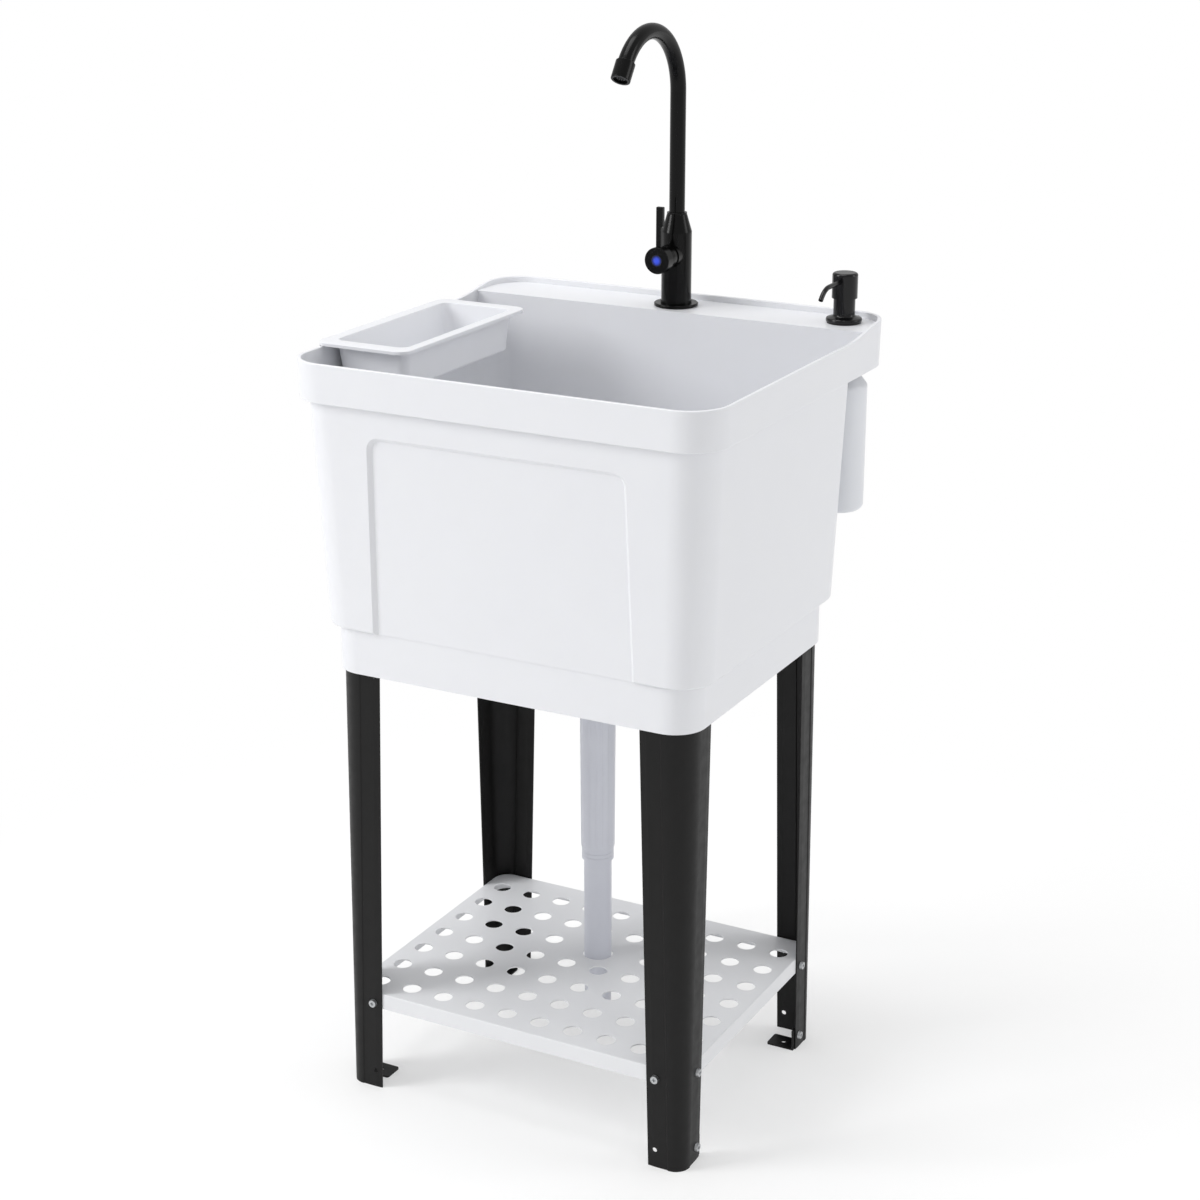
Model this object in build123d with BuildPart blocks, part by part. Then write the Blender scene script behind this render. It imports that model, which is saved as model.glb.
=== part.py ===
import os
from math import cos, radians, sin

from build123d import *

os.makedirs("parts", exist_ok=True)

# Millimetres. The origin is on the floor under the middle of the rim, +X to the user's right,
# +Y to the back, +Z up. Pieces that fit each other share these values and the clearances below.

# Clearances
running_clearance = 0.05
thread_clearance = 0.1
bolt_clearance = 0.25
socket_clearance = 0.5
deck_hole_clearance = 0.5

# Tub: rim band
rim_width = 502
rim_depth = 474
rim_height = 864
rim_radius = 45
rim_wall = 4.5
band_height = 43
band_draft = 1
band_edge_radius = 1.5
rim_edge_radius = 1.2
rear_rise = 10
rise_end_setback = 20
rise_length = 116

# Tub: deck behind the basin
deck_rise = 3
deck_depth = 77
deck_thickness = 4
deck_corner_radius = 25

# Tub: body and skirt
wall = 4
body_side_inset = 9
body_front_inset = 9
rear_wall_top = 5
body_height = 255
body_side_taper = 10.5
body_front_taper = 11
body_rear_taper = 7
body_radius_top = 43
body_radius_bottom = 40
body_edge_radius = 4
basin_floor_above_step = 6
floor_thickness = 5
basin_floor_radius = 16
skirt_height = 51.5
skirt_wall = 3.5
skirt_side_step = 11
skirt_front_step = 5.5
skirt_rear_step = 9.5

# Tub: recessed front panel
panel_height = 224
panel_half_width_top = 153
panel_half_width_bottom = 159
panel_corner_radius = 15
panel_depth = 4.5
panel_slope_angle = 45

# Legs
leg_length = 553
leg_sheet = 1.5
leg_width_top = 58
leg_width_bottom = 43
leg_radius_top = 31
leg_radius_bottom = 17
leg_strip = 25
leg_joggle = 0.7
leg_joggle_run = 1
leg_lip = 8
leg_lip_rise = 0.5
leg_tab_size = 44
leg_screw_offset = 27
leg_screw_radius = 2.4
leg_screw_length = 13
boss_size = 30
bolt_offset = 35
bolt_radius = 2.5
bolt_head_height = 3.2
nut_width = 8
nut_thickness = 4
shelf_bolt_height = 109
foot_bolt_height = 16
spare_hole_height = 21
spare_hole_radius = 2.9

# Foot brackets
bracket_sheet = 2
bracket_width = 25
bracket_height = 27
bracket_reach = 37
bracket_hole_radius = 3
bracket_hole_offset = 20
bracket_corner_radius = 3

# Shelf
shelf_height = 122
shelf_sheet = 1.5
apron_height = 19
shelf_corner_radius = 20
shelf_hole_radius = 10.8
shelf_hole_margin = 20
shelf_column_pitch = 42.2
shelf_row_pitch = 46.5
shelf_rows_shift = -5.5
shelf_drain_clearance = 1.5
shelf_web = 3

# Hanging tray, with its insets from the flange in the order left, right, front, rear
tray_overhang = 6
tray_width = 116
tray_front_setback = 72
tray_rise_gap = 5
tray_rest_height = 2
tray_flange_thickness = 2.5
tray_flange_radius = 15
tray_edge_wall = 2.5
tray_edge_drop = 1.5
tray_hook_drop = 6
tray_rib_thickness = 4
tray_rib_pitch = 90
tray_wall = 2
tray_depth = 42
tray_mouth_insets = [13, 10.5, 17, 15]
tray_foot_insets = [20.5, 13, 19, 21]
tray_corner_radius = 12
tray_edge_radius = 1

# Faucet
faucet_setback = 43
faucet_gasket_thickness = 1
faucet_gasket_radius = 23
faucet_flange_radius = 25.5
faucet_flange_thickness = 3
faucet_body_radius = 17.35
faucet_foot_radius = 18
faucet_foot_height = 2.5
faucet_body_height = 82
faucet_cone_height = 22
faucet_cone_groove = 0.4
faucet_neck_edge = 2
faucet_neck_radius = 11.5
waterway_radius = 5
shank_radius = 10.4
shank_length = 52
shank_tail_radius = 10.1
shank_tail_length = 30
faucet_washer_radius = 20
faucet_washer_thickness = 3
faucet_nut_radius = 18
faucet_nut_thickness = 8
spout_radius = 9
spout_wall = 1.6
spout_insert = 38
spout_straight_top = 1110.5
spout_bend_radius = 71.5
spout_bend_angle = 145
spout_thread_length = 8
seal_section_radius = 0.6
seal_spacing = 8
aerator_radius = 10.9
aerator_length = 21.5
aerator_cover = 3
aerator_cover_clearance = 0.1
aerator_outlet_radius = 8
aerator_screen_thickness = 1.5
aerator_screen_inset = 2
aerator_jet_radius = 0.9

# Faucet handle
handle_height = 927
stub_radius = 12.5
stub_reach = 37.9
stub_ring_radius = 13.6
stub_ring_reach = 21
stub_groove = 0.4
stub_groove_pitch = 3
cartridge_radius = 9
cartridge_depth = 26
spindle_radius = 4
spindle_length = 8
hub_radius = 15.2
hub_gap = 0.4
hub_length = 13
hub_edge_radius = 0.8
index_radius = 6.6
index_thickness = 1.5
lever_width = 8.3
lever_neck_width = 6
lever_head_length = 21
lever_step_slope = 2
lever_thickness = 4.6
lever_length = 60.3
lever_socket_depth = 6
lever_setback = 6.7
lever_corner_radius = 1

# Soap dispenser
dispenser_side_setback = 44.5
dispenser_rear_setback = 38
dispenser_gasket_thickness = 1
dispenser_gasket_radius = 19
collar_flange_radius = 20.3
collar_flange_edge = 4.6
collar_flange_height = 7
collar_flange_round = 2
collar_neck_radius = 12.2
collar_neck_height = 29
collar_neck_round = 2.5
collar_shank_radius = 13
collar_shank_length = 30
dispenser_nut_radius = 19
dispenser_nut_thickness = 8
bottle_radius = 29
bottle_wall = 1.6
bottle_neck_wall = 2.4
bottle_neck_length = 38
bottle_neck_gap = 2
bottle_shoulder_height = 18
bottle_shoulder_radius = 7
bottle_height = 202
bottle_edge_radius = 8
housing_radius = 7.4
housing_bore = 5.5
housing_flange_radius = 11.2
housing_flange_thickness = 1.2
housing_cap_thickness = 4
housing_length = 82
housing_floor = 4
nipple_radius = 2.6
nipple_length = 8
passage_radius = 1.5
dip_tube_wall = 1.3
dip_tube_end_gap = 6
stem_radius = 3
piston_length = 6
piston_gap = 3
pump_stroke = 12
spring_mean_radius = 4.2
spring_wire_radius = 0.45
spring_turns = 9
head_radius = 14.4
head_height = 28.5
head_overlap = 2
head_side_clearance = 0.35
head_stroke_clearance = 0.6
head_edge_radius = 3
stem_socket_depth = 4
nozzle_radius = 2.7
nozzle_drop = 8.5
nozzle_root = 7
nozzle_straight = 46
nozzle_bend_radius = 28
nozzle_bend_angle = 45
nozzle_tip = 4

# Drain
drain_setback = 235
drain_flange_radius = 42
drain_flange_thickness = 2.2
drain_cup_radius = 28
drain_cup_depth = 27
drain_wall = 2
spigot_radius = 22
spigot_length = 40
drain_gasket_radius = 39
drain_gasket_thickness = 3
locknut_radius = 38
locknut_thickness = 8
basket_rim_radius = 31
basket_rim_thickness = 1.2
basket_cup_radius = 24
basket_cup_depth = 20
basket_wall = 1.2
basket_hole_radius = 1.8
basket_knob_radius = 4
basket_knob_height = 14
slip_nut_radius = 26
slip_nut_height = 17
slip_nut_lip = 4
tailpiece_radius = 20.8
tailpiece_foot_radius = 19.5
tailpiece_wall = 2
tailpiece_flange_thickness = 3
tailpiece_draft_bottom = 263.5
tailpiece_taper = 2
drain_collar_radius = 18.6
drain_collar_height = 14
collar_groove = 0.6
outlet_radius = 16.2
outlet_wall = 1.6
outlet_overlap = 6
outlet_tail_radius = 15.7
outlet_tail_length = 32
outlet_bottom = 60

# Levels and faces worked out from the sizes above
rim_half_width = rim_width / 2
rim_front = -rim_depth / 2
rim_rear = rim_depth / 2
rim_top = rim_height + rear_rise
band_bottom = rim_height - band_height
step_height = band_bottom - body_height
skirt_bottom = step_height - skirt_height
ledge_top = band_bottom + wall
deck_top = rim_height + deck_rise
deck_bottom = deck_top - deck_thickness
deck_front = rim_rear - deck_depth
rise_start = rim_rear - rise_end_setback - rise_length
body_top_half_width = rim_half_width - body_side_inset
body_top_front = rim_front + body_front_inset
body_top_rear = deck_front + rear_wall_top
body_bottom_half_width = body_top_half_width - body_side_taper
body_bottom_front = body_top_front + body_front_taper
body_bottom_rear = body_top_rear - body_rear_taper
skirt_half_width = body_bottom_half_width - skirt_side_step
skirt_front = body_bottom_front + skirt_front_step
skirt_rear = body_bottom_rear - skirt_rear_step
basin_floor = step_height + basin_floor_above_step
floor_bottom = basin_floor - floor_thickness
leg_half_width = skirt_half_width - skirt_wall - socket_clearance
leg_front = skirt_front + skirt_wall + socket_clearance
leg_rear = skirt_rear - skirt_wall - socket_clearance
leg_face_offset = leg_joggle + leg_lip_rise + leg_sheet
boss_height = floor_bottom - leg_length
tray_front = rim_front + tray_front_setback
tray_length = rise_start - tray_rise_gap - tray_front
faucet_y = rim_rear - faucet_setback
dispenser_x = rim_half_width - dispenser_side_setback
dispenser_y = rim_rear - dispenser_rear_setback
drain_y = rim_rear - drain_setback


def rounded_rectangle(half_width, front, rear, radius):
    """Rectangle with round corners, from its half width and its front and rear Y."""
    with Locations((0, (front + rear) / 2)):
        RectangleRounded(2 * half_width, rear - front, radius)


def drill(point, direction, radius, depth):
    """Cut a round hole both ways from a point."""
    with BuildSketch(Plane(origin=point, z_dir=direction)) as hole:
        Circle(radius)
    extrude(hole.sketch, amount=depth, both=True, mode=Mode.SUBTRACT)


def turned(x, y, points, mode=Mode.ADD):
    """Turn a closed outline of (radius, height) points about the upright axis at (x, y)."""
    with BuildSketch(Plane(origin=(x, y, 0), x_dir=(1, 0, 0), z_dir=(0, -1, 0))) as outline:
        with BuildLine():
            Polyline(*points, close=True)
        make_face()
    revolve(outline.sketch, axis=Axis((x, y, 0), (0, 0, 1)), mode=mode)


# Tub. The front face leans out towards the top, and the panel is sunk square to it.
front_lean = Vector(0, body_top_front - body_bottom_front, body_height).normalized()
front_normal = Vector(1, 0, 0).cross(front_lean)
front_plane = Plane(
    origin=(0, body_bottom_front, step_height), x_dir=(1, 0, 0), z_dir=front_normal
)


def panel_outline(plane, bottom):
    """Front panel: wider at the foot, round at its two top corners."""
    with BuildSketch(plane) as panel:
        with BuildLine():
            Polyline(
                (-panel_half_width_bottom, bottom),
                (panel_half_width_bottom, bottom),
                (panel_half_width_top, panel_height),
                (-panel_half_width_top, panel_height),
                close=True,
            )
        make_face()
        fillet(panel.vertices().group_by(Axis.Y)[-1], panel_corner_radius)
    return panel.sketch


with BuildPart() as basin_cavity:
    with BuildSketch(Plane.XY.offset(basin_floor)):
        rounded_rectangle(
            body_bottom_half_width - wall,
            body_bottom_front + wall,
            body_bottom_rear - wall,
            body_radius_bottom - wall,
        )
    with BuildSketch(Plane.XY.offset(ledge_top)):
        rounded_rectangle(
            body_top_half_width - wall,
            body_top_front + wall,
            deck_front,
            body_radius_top - wall,
        )
    loft()
    fillet(basin_cavity.edges().group_by(Axis.Z)[0], basin_floor_radius)
    # The wall keeps its thickness behind the sunk panel.
    inner_pad = panel_outline(front_plane.offset(-wall - panel_depth), -2 * skirt_height)
    extrude(inner_pad, amount=2 * panel_depth, mode=Mode.SUBTRACT)

with BuildPart() as tub:
    with BuildSketch(Plane.XY.offset(step_height)):
        rounded_rectangle(
            body_bottom_half_width, body_bottom_front, body_bottom_rear, body_radius_bottom
        )
    with BuildSketch(Plane.XY.offset(band_bottom)):
        rounded_rectangle(
            body_top_half_width, body_top_front, body_top_rear, body_radius_top
        )
    loft()
    fillet(tub.edges().group_by(Axis.Z)[0], body_edge_radius)
    # Sunk front panel, open at the step.
    sunk_panel = panel_outline(front_plane, -3 * body_edge_radius)
    extrude(sunk_panel, amount=-panel_depth, taper=panel_slope_angle, mode=Mode.SUBTRACT)
    # Rim band.
    with BuildSketch(Plane.XY.offset(band_bottom)):
        rounded_rectangle(
            rim_half_width - band_draft,
            rim_front + band_draft,
            rim_rear - band_draft,
            rim_radius,
        )
    with BuildSketch(Plane.XY.offset(rim_top + wall)):
        rounded_rectangle(rim_half_width, rim_front, rim_rear, rim_radius)
    loft()
    band_underside = tub.faces().filter_by(Axis.Z).sort_by(
        lambda face: abs(face.center().Z - band_bottom)
    )[0]
    fillet(band_underside.outer_wire().edges(), band_edge_radius)
    # Skirt, with the space for the legs and the drain inside it.
    with BuildSketch(Plane.XY.offset(skirt_bottom)):
        rounded_rectangle(
            skirt_half_width,
            skirt_front,
            skirt_rear,
            leg_radius_top + socket_clearance + skirt_wall,
        )
    extrude(amount=skirt_height + wall)
    with BuildSketch(Plane.XY.offset(skirt_bottom)):
        rounded_rectangle(
            skirt_half_width - skirt_wall,
            skirt_front + skirt_wall,
            skirt_rear - skirt_wall,
            leg_radius_top + socket_clearance,
        )
    extrude(amount=floor_bottom - skirt_bottom, mode=Mode.SUBTRACT)
    # Basin, then the wider space inside the band, which leaves a ledge round three sides.
    add(basin_cavity.part, mode=Mode.SUBTRACT)
    with BuildSketch(Plane.XY.offset(ledge_top)):
        with Locations((0, (rim_front + rim_wall + deck_front) / 2)):
            band_space = Rectangle(2 * (rim_half_width - rim_wall), deck_front - rim_front - rim_wall)
        fillet(band_space.vertices().group_by(Axis.Y)[0], rim_radius - rim_wall)
        fillet(band_space.vertices().group_by(Axis.Y)[-1], deck_corner_radius)
    extrude(amount=rim_height, mode=Mode.SUBTRACT)
    # Deck surface inside the raised rim.
    with BuildSketch(Plane.XY.offset(deck_top)):
        rounded_rectangle(
            rim_half_width - rim_wall,
            rim_front + rim_wall,
            rim_rear - rim_wall,
            rim_radius - rim_wall,
        )
    extrude(amount=rim_top, mode=Mode.SUBTRACT)
    # Space under the deck, behind the basin's back wall.
    with BuildSketch(Plane.XY.offset(band_bottom)):
        with Locations((0, (body_top_rear + rim_rear - rim_wall) / 2)):
            under_deck = Rectangle(
                2 * (rim_half_width - rim_wall), rim_rear - rim_wall - body_top_rear
            )
        fillet(under_deck.vertices().group_by(Axis.Y)[-1], rim_radius - rim_wall)
    extrude(amount=deck_bottom - band_bottom, mode=Mode.SUBTRACT)
    # The rim is low at the front and sides and sweeps up to the back.
    with BuildSketch(Plane.YZ):
        with BuildLine():
            low_end = (rise_start, rim_height)
            middle = (rise_start + rise_length / 2, rim_height + rear_rise / 2)
            high_end = (rise_start + rise_length, rim_top)
            Line((rim_front - wall, rim_height), low_end)
            TangentArc(low_end, middle, tangent=(1, 0))
            TangentArc(high_end, middle, tangent=(-1, 0))
            Polyline(
                high_end,
                (rim_rear + wall, rim_top),
                (rim_rear + wall, rim_top + 2 * wall),
                (rim_front - wall, rim_top + 2 * wall),
                (rim_front - wall, rim_height),
            )
        make_face()
    extrude(amount=rim_width, both=True, mode=Mode.SUBTRACT)
    # Round the rim's top on both sides; the edges between its own faces stay as they are.
    upward_faces = tub.faces().filter_by(lambda face: face.normal_at().Z > 0.9)
    rim_faces = upward_faces.filter_by(
        lambda face: face.center().Z > rim_height - 0.1 and abs(face.center().Z - deck_top) > 0.1
    )
    rim_edges = ShapeList([edge for face in rim_faces for edge in face.edges()])
    rim_sides = [edge for edge in rim_edges if rim_edges.count(edge) == 1]
    fillet(rim_sides, rim_edge_radius)
    # Bosses over the leg tabs.
    for side in (-1, 1):
        for boss_y in (leg_front + leg_screw_offset, leg_rear - leg_screw_offset):
            boss_x = side * (leg_half_width - leg_screw_offset)
            with BuildSketch(Plane.XY.offset(leg_length)):
                with Locations((boss_x, boss_y)):
                    Rectangle(boss_size, boss_size)
                    Circle(leg_screw_radius + thread_clearance, mode=Mode.SUBTRACT)
            extrude(amount=boss_height)
    # Deck holes, drain seat and drain hole.
    drill((0, faucet_y, deck_top), (0, 0, 1), shank_radius + deck_hole_clearance, 2 * deck_thickness)
    drill(
        (dispenser_x, dispenser_y, deck_top),
        (0, 0, 1),
        collar_shank_radius + deck_hole_clearance,
        2 * deck_thickness,
    )
    with BuildSketch(Plane.XY.offset(basin_floor)):
        with Locations((0, drain_y)):
            Circle(drain_flange_radius + deck_hole_clearance)
    extrude(amount=-drain_flange_thickness, mode=Mode.SUBTRACT)
    drill(
        (0, drain_y, basin_floor), (0, 0, 1), drain_cup_radius + deck_hole_clearance, 2 * floor_thickness
    )

tub.part.label = "tub"
export_step(tub.part, "parts/tub.step")


# Hanging tray: ribs under its flange rest on the left rim and a downturned lip hooks outside it.
tray_left = -rim_half_width - tray_overhang
tray_bottom = rim_height - tray_depth
tray_flange_bottom = rim_height + tray_rest_height
tray_top = tray_flange_bottom + tray_flange_thickness


def tray_section(level, left, right, front, rear, radius):
    """Rounded rectangle set in from the four sides of the tray's flange."""
    width = tray_width - left - right
    length = tray_length - front - rear
    with BuildSketch(Plane.XY.offset(level)) as section:
        with Locations((tray_left + left + width / 2, tray_front + front + length / 2)):
            RectangleRounded(width, length, radius)
    return section.sketch


with BuildPart() as hanging_tray:
    outer_foot = tray_section(tray_bottom, *tray_foot_insets, tray_corner_radius)
    outer_mouth = tray_section(tray_top, *tray_mouth_insets, tray_corner_radius)
    loft([outer_foot, outer_mouth])
    fillet(hanging_tray.edges().group_by(Axis.Z)[0], 2 * tray_wall)
    flange = tray_section(tray_flange_bottom, 0, 0, 0, 0, tray_flange_radius)
    extrude(flange, amount=tray_flange_thickness)
    # Edge turned down all round, and further down outside the tub's rim.
    edge_insets = [tray_edge_wall] * 4
    edge_inside = tray_section(
        tray_flange_bottom, *edge_insets, tray_flange_radius - tray_edge_wall
    )
    edge_ring = flange - edge_inside
    extrude(edge_ring, amount=-tray_edge_drop)
    with BuildSketch(Plane.XY.offset(tray_flange_bottom)) as hook_zone:
        with Locations((tray_left, tray_front + tray_length / 2)):
            Rectangle(2 * tray_edge_wall + 2 * socket_clearance, tray_length)
    extrude(edge_ring & hook_zone.sketch, amount=-tray_hook_drop)
    rib_width = tray_mouth_insets[0] + tray_wall / 2
    for rib in (-1, 0, 1):
        with BuildSketch(Plane.XY.offset(tray_flange_bottom)) as rest_rib:
            with Locations((tray_left + rib_width / 2, tray_front + tray_length / 2)):
                with Locations((tray_edge_wall / 2, rib * tray_rib_pitch)):
                    Rectangle(rib_width - tray_edge_wall, tray_rib_thickness)
        extrude(rest_rib.sketch, amount=-tray_rest_height)
    # Inside of the tray.
    foot_inside = [inset + tray_wall for inset in tray_foot_insets]
    mouth_inside = [inset + tray_wall for inset in tray_mouth_insets]
    inner_radius = tray_corner_radius - tray_wall
    inner_foot = tray_section(tray_bottom + tray_wall, *foot_inside, inner_radius)
    inner_mouth = tray_section(tray_top, *mouth_inside, inner_radius)
    loft([inner_foot, inner_mouth], mode=Mode.SUBTRACT)
    fillet(hanging_tray.faces().sort_by(Axis.Z)[-1].edges(), tray_edge_radius)

hanging_tray.part.label = "hanging_tray"
export_step(hanging_tray.part, "parts/hanging_tray.step")

# Legs: rolled angle sheet. u and v run inward from the two outer faces of the corner; the
# front or rear flange lies along u, the side flange along v.
leg_corners = {
    "front_left": (-1, -1),
    "front_right": (1, -1),
    "rear_left": (-1, 1),
    "rear_right": (1, 1),
}


def corner_point(u, v, side, end):
    """Plan position for distances inward from a corner's outer faces."""
    return side * (leg_half_width - u), (leg_rear - v if end > 0 else leg_front + v)


def leg_section(level, width, radius, side, end):
    """Rolled angle with a stepped strip and a turned lip along each free edge."""
    run = [
        (radius, 0),
        (width - leg_strip, 0),
        (width - leg_strip + leg_joggle_run, leg_joggle),
        (width - leg_lip, leg_joggle),
        (width, leg_joggle + leg_lip_rise),
    ]
    inner = [(u, v + leg_sheet) for u, v in run]
    inner_radius = radius - leg_sheet
    bend = radius * (1 - cos(radians(45)))
    inner_bend = leg_sheet + inner_radius * (1 - cos(radians(45)))
    place = [corner_point(u, v, side, end) for u, v in run]
    place_inner = [corner_point(u, v, side, end) for u, v in inner]
    mirror_place = [corner_point(v, u, side, end) for u, v in run]
    mirror_inner = [corner_point(v, u, side, end) for u, v in inner]
    with BuildSketch(Plane.XY.offset(level)) as section:
        with BuildLine():
            Polyline(*place)
            Line(place[-1], place_inner[-1])
            Polyline(*place_inner)
            ThreePointArc(
                place_inner[0], corner_point(inner_bend, inner_bend, side, end), mirror_inner[0]
            )
            Polyline(*mirror_inner)
            Line(mirror_inner[-1], mirror_place[-1])
            Polyline(*mirror_place)
            ThreePointArc(mirror_place[0], corner_point(bend, bend, side, end), place[0])
        make_face()
    return section.sketch


for leg_name, (side, end) in leg_corners.items():
    with BuildPart() as leg:
        foot_section = leg_section(0, leg_width_bottom, leg_radius_bottom, side, end)
        top_section = leg_section(leg_length, leg_width_top, leg_radius_top, side, end)
        loft([foot_section, top_section], ruled=True)
        # Tab across the top for the screw into the tub.
        tab_near = leg_sheet - 0.1
        with BuildSketch(Plane.XY.offset(leg_length)) as tab:
            with BuildLine():
                Polyline(
                    corner_point(leg_tab_size, leg_tab_size, side, end),
                    corner_point(leg_tab_size, tab_near, side, end),
                    corner_point(leg_radius_top, tab_near, side, end),
                )
                tab_bend = tab_near + (leg_radius_top - tab_near) * (1 - cos(radians(45)))
                ThreePointArc(
                    corner_point(leg_radius_top, tab_near, side, end),
                    corner_point(tab_bend, tab_bend, side, end),
                    corner_point(tab_near, leg_radius_top, side, end),
                )
                Polyline(
                    corner_point(tab_near, leg_radius_top, side, end),
                    corner_point(tab_near, leg_tab_size, side, end),
                    corner_point(leg_tab_size, leg_tab_size, side, end),
                )
            make_face()
        extrude(tab.sketch, amount=-leg_sheet)
        screw_x, screw_y = corner_point(leg_screw_offset, leg_screw_offset, side, end)
        drill((screw_x, screw_y, leg_length), (0, 0, 1), leg_screw_radius + bolt_clearance, boss_size)
        # Shelf bolt holes in both flanges, spare hole in front or rear, foot bolt hole at the side.
        flange_x, face_y = corner_point(bolt_offset, 0, side, end)
        face_x, flange_y = corner_point(0, bolt_offset, side, end)
        hole_radius = bolt_radius + bolt_clearance
        drill((flange_x, face_y, shelf_bolt_height), (0, 1, 0), hole_radius, boss_size / 3)
        drill((face_x, flange_y, shelf_bolt_height), (1, 0, 0), hole_radius, boss_size / 3)
        drill((flange_x, face_y, spare_hole_height), (0, 1, 0), spare_hole_radius, boss_size / 3)
        drill((face_x, flange_y, foot_bolt_height), (1, 0, 0), hole_radius, boss_size / 3)

    leg.part.label = "leg_" + leg_name
    export_step(leg.part, "parts/leg_" + leg_name + ".step")

    # Foot bracket: small angle inside the side flange, with a floor screw hole.
    with BuildPart() as bracket:
        with BuildSketch(Plane.XZ.offset(-flange_y)):
            with BuildLine():
                plate_near = side * (leg_half_width - leg_face_offset)
                plate_far = plate_near - side * bracket_sheet
                tab_end = side * (leg_half_width - bracket_reach)
                Polyline(
                    (plate_near, 0),
                    (plate_near, bracket_height),
                    (plate_far, bracket_height),
                    (plate_far, bracket_sheet),
                    (tab_end, bracket_sheet),
                    (tab_end, 0),
                    close=True,
                )
            make_face()
        extrude(amount=bracket_width / 2, both=True)
        upright_edges = bracket.edges().filter_by(Axis.Z).group_by(SortBy.LENGTH)[0]
        fillet(upright_edges, bracket_corner_radius)
        cross_edges = bracket.edges().filter_by(Axis.X).group_by(Axis.Z)[-1]
        fillet(cross_edges, bracket_corner_radius)
        drill((face_x, flange_y, foot_bolt_height), (1, 0, 0), hole_radius, boss_size / 3)
        floor_hole_x = side * (leg_half_width - bracket_hole_offset)
        drill((floor_hole_x, flange_y, 0), (0, 0, 1), bracket_hole_radius, bracket_sheet * 2)

    bracket.part.label = "foot_bracket_" + leg_name
    export_step(bracket.part, "parts/foot_bracket_" + leg_name + ".step")

# Fasteners. A head or nut seats on its plate, and each shaft runs through plain holes.
front_bolt_y = leg_front + bolt_offset
rear_bolt_y = leg_rear - bolt_offset
side_bolt_x = leg_half_width - bolt_offset


def screw(seat, direction, length, shaft_radius, head_height):
    """Pan head screw: the head stands out from the seat, the shaft runs the other way."""
    seat_plane = Plane(origin=seat, z_dir=direction)
    with BuildSketch(seat_plane) as head:
        Circle(2 * shaft_radius)
    extrude(head.sketch, amount=head_height, taper=12)
    with BuildSketch(seat_plane) as shaft:
        Circle(shaft_radius)
    extrude(shaft.sketch, amount=-length)
    with BuildSketch(seat_plane.offset(head_height)) as recess:
        for turn in (0, 90):
            SlotOverall(1.8 * shaft_radius, shaft_radius / 2, rotation=turn)
    extrude(recess.sketch, amount=-head_height / 2, mode=Mode.SUBTRACT)


def hex_nut(seat, direction):
    """Hexagon nut on its seat, bored to clear the shaft."""
    with BuildSketch(Plane(origin=seat, z_dir=direction)) as nut:
        RegularPolygon(nut_width / 2, 6, major_radius=False)
        Circle(bolt_radius + thread_clearance, mode=Mode.SUBTRACT)
    extrude(nut.sketch, amount=nut_thickness)


with BuildPart() as leg_screws:
    for side in (-1, 1):
        for screw_y in (leg_front + leg_screw_offset, leg_rear - leg_screw_offset):
            screw_x = side * (leg_half_width - leg_screw_offset)
            screw(
                (screw_x, screw_y, leg_length - leg_sheet),
                (0, 0, -1),
                leg_screw_length,
                leg_screw_radius,
                bolt_head_height,
            )

leg_screws.part.label = "leg_screws"
export_step(leg_screws.part, "parts/leg_screws.step")

# The joggle in a flange ends before the bolt line, so bolt heads seat on the stepped strip.
foot_bolt_seat_x = leg_half_width - leg_joggle
foot_bolt_inner_x = leg_half_width - leg_face_offset - bracket_sheet

with BuildPart() as foot_bolts:
    for side in (-1, 1):
        for bolt_y in (front_bolt_y, rear_bolt_y):
            screw(
                (side * foot_bolt_seat_x, bolt_y, foot_bolt_height),
                (side, 0, 0),
                foot_bolt_seat_x - foot_bolt_inner_x + nut_thickness + bolt_radius / 2,
                bolt_radius,
                bolt_head_height,
            )

foot_bolts.part.label = "foot_bolts"
export_step(foot_bolts.part, "parts/foot_bolts.step")

with BuildPart() as foot_nuts:
    for side in (-1, 1):
        for bolt_y in (front_bolt_y, rear_bolt_y):
            hex_nut((side * foot_bolt_inner_x, bolt_y, foot_bolt_height), (-side, 0, 0))

foot_nuts.part.label = "foot_nuts"
export_step(foot_nuts.part, "parts/foot_nuts.step")

# Shelf: perforated plate with a folded apron that fits inside the four legs.
shelf_half_width = leg_half_width - leg_face_offset
shelf_front = leg_front + leg_face_offset
shelf_rear = leg_rear - leg_face_offset

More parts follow.
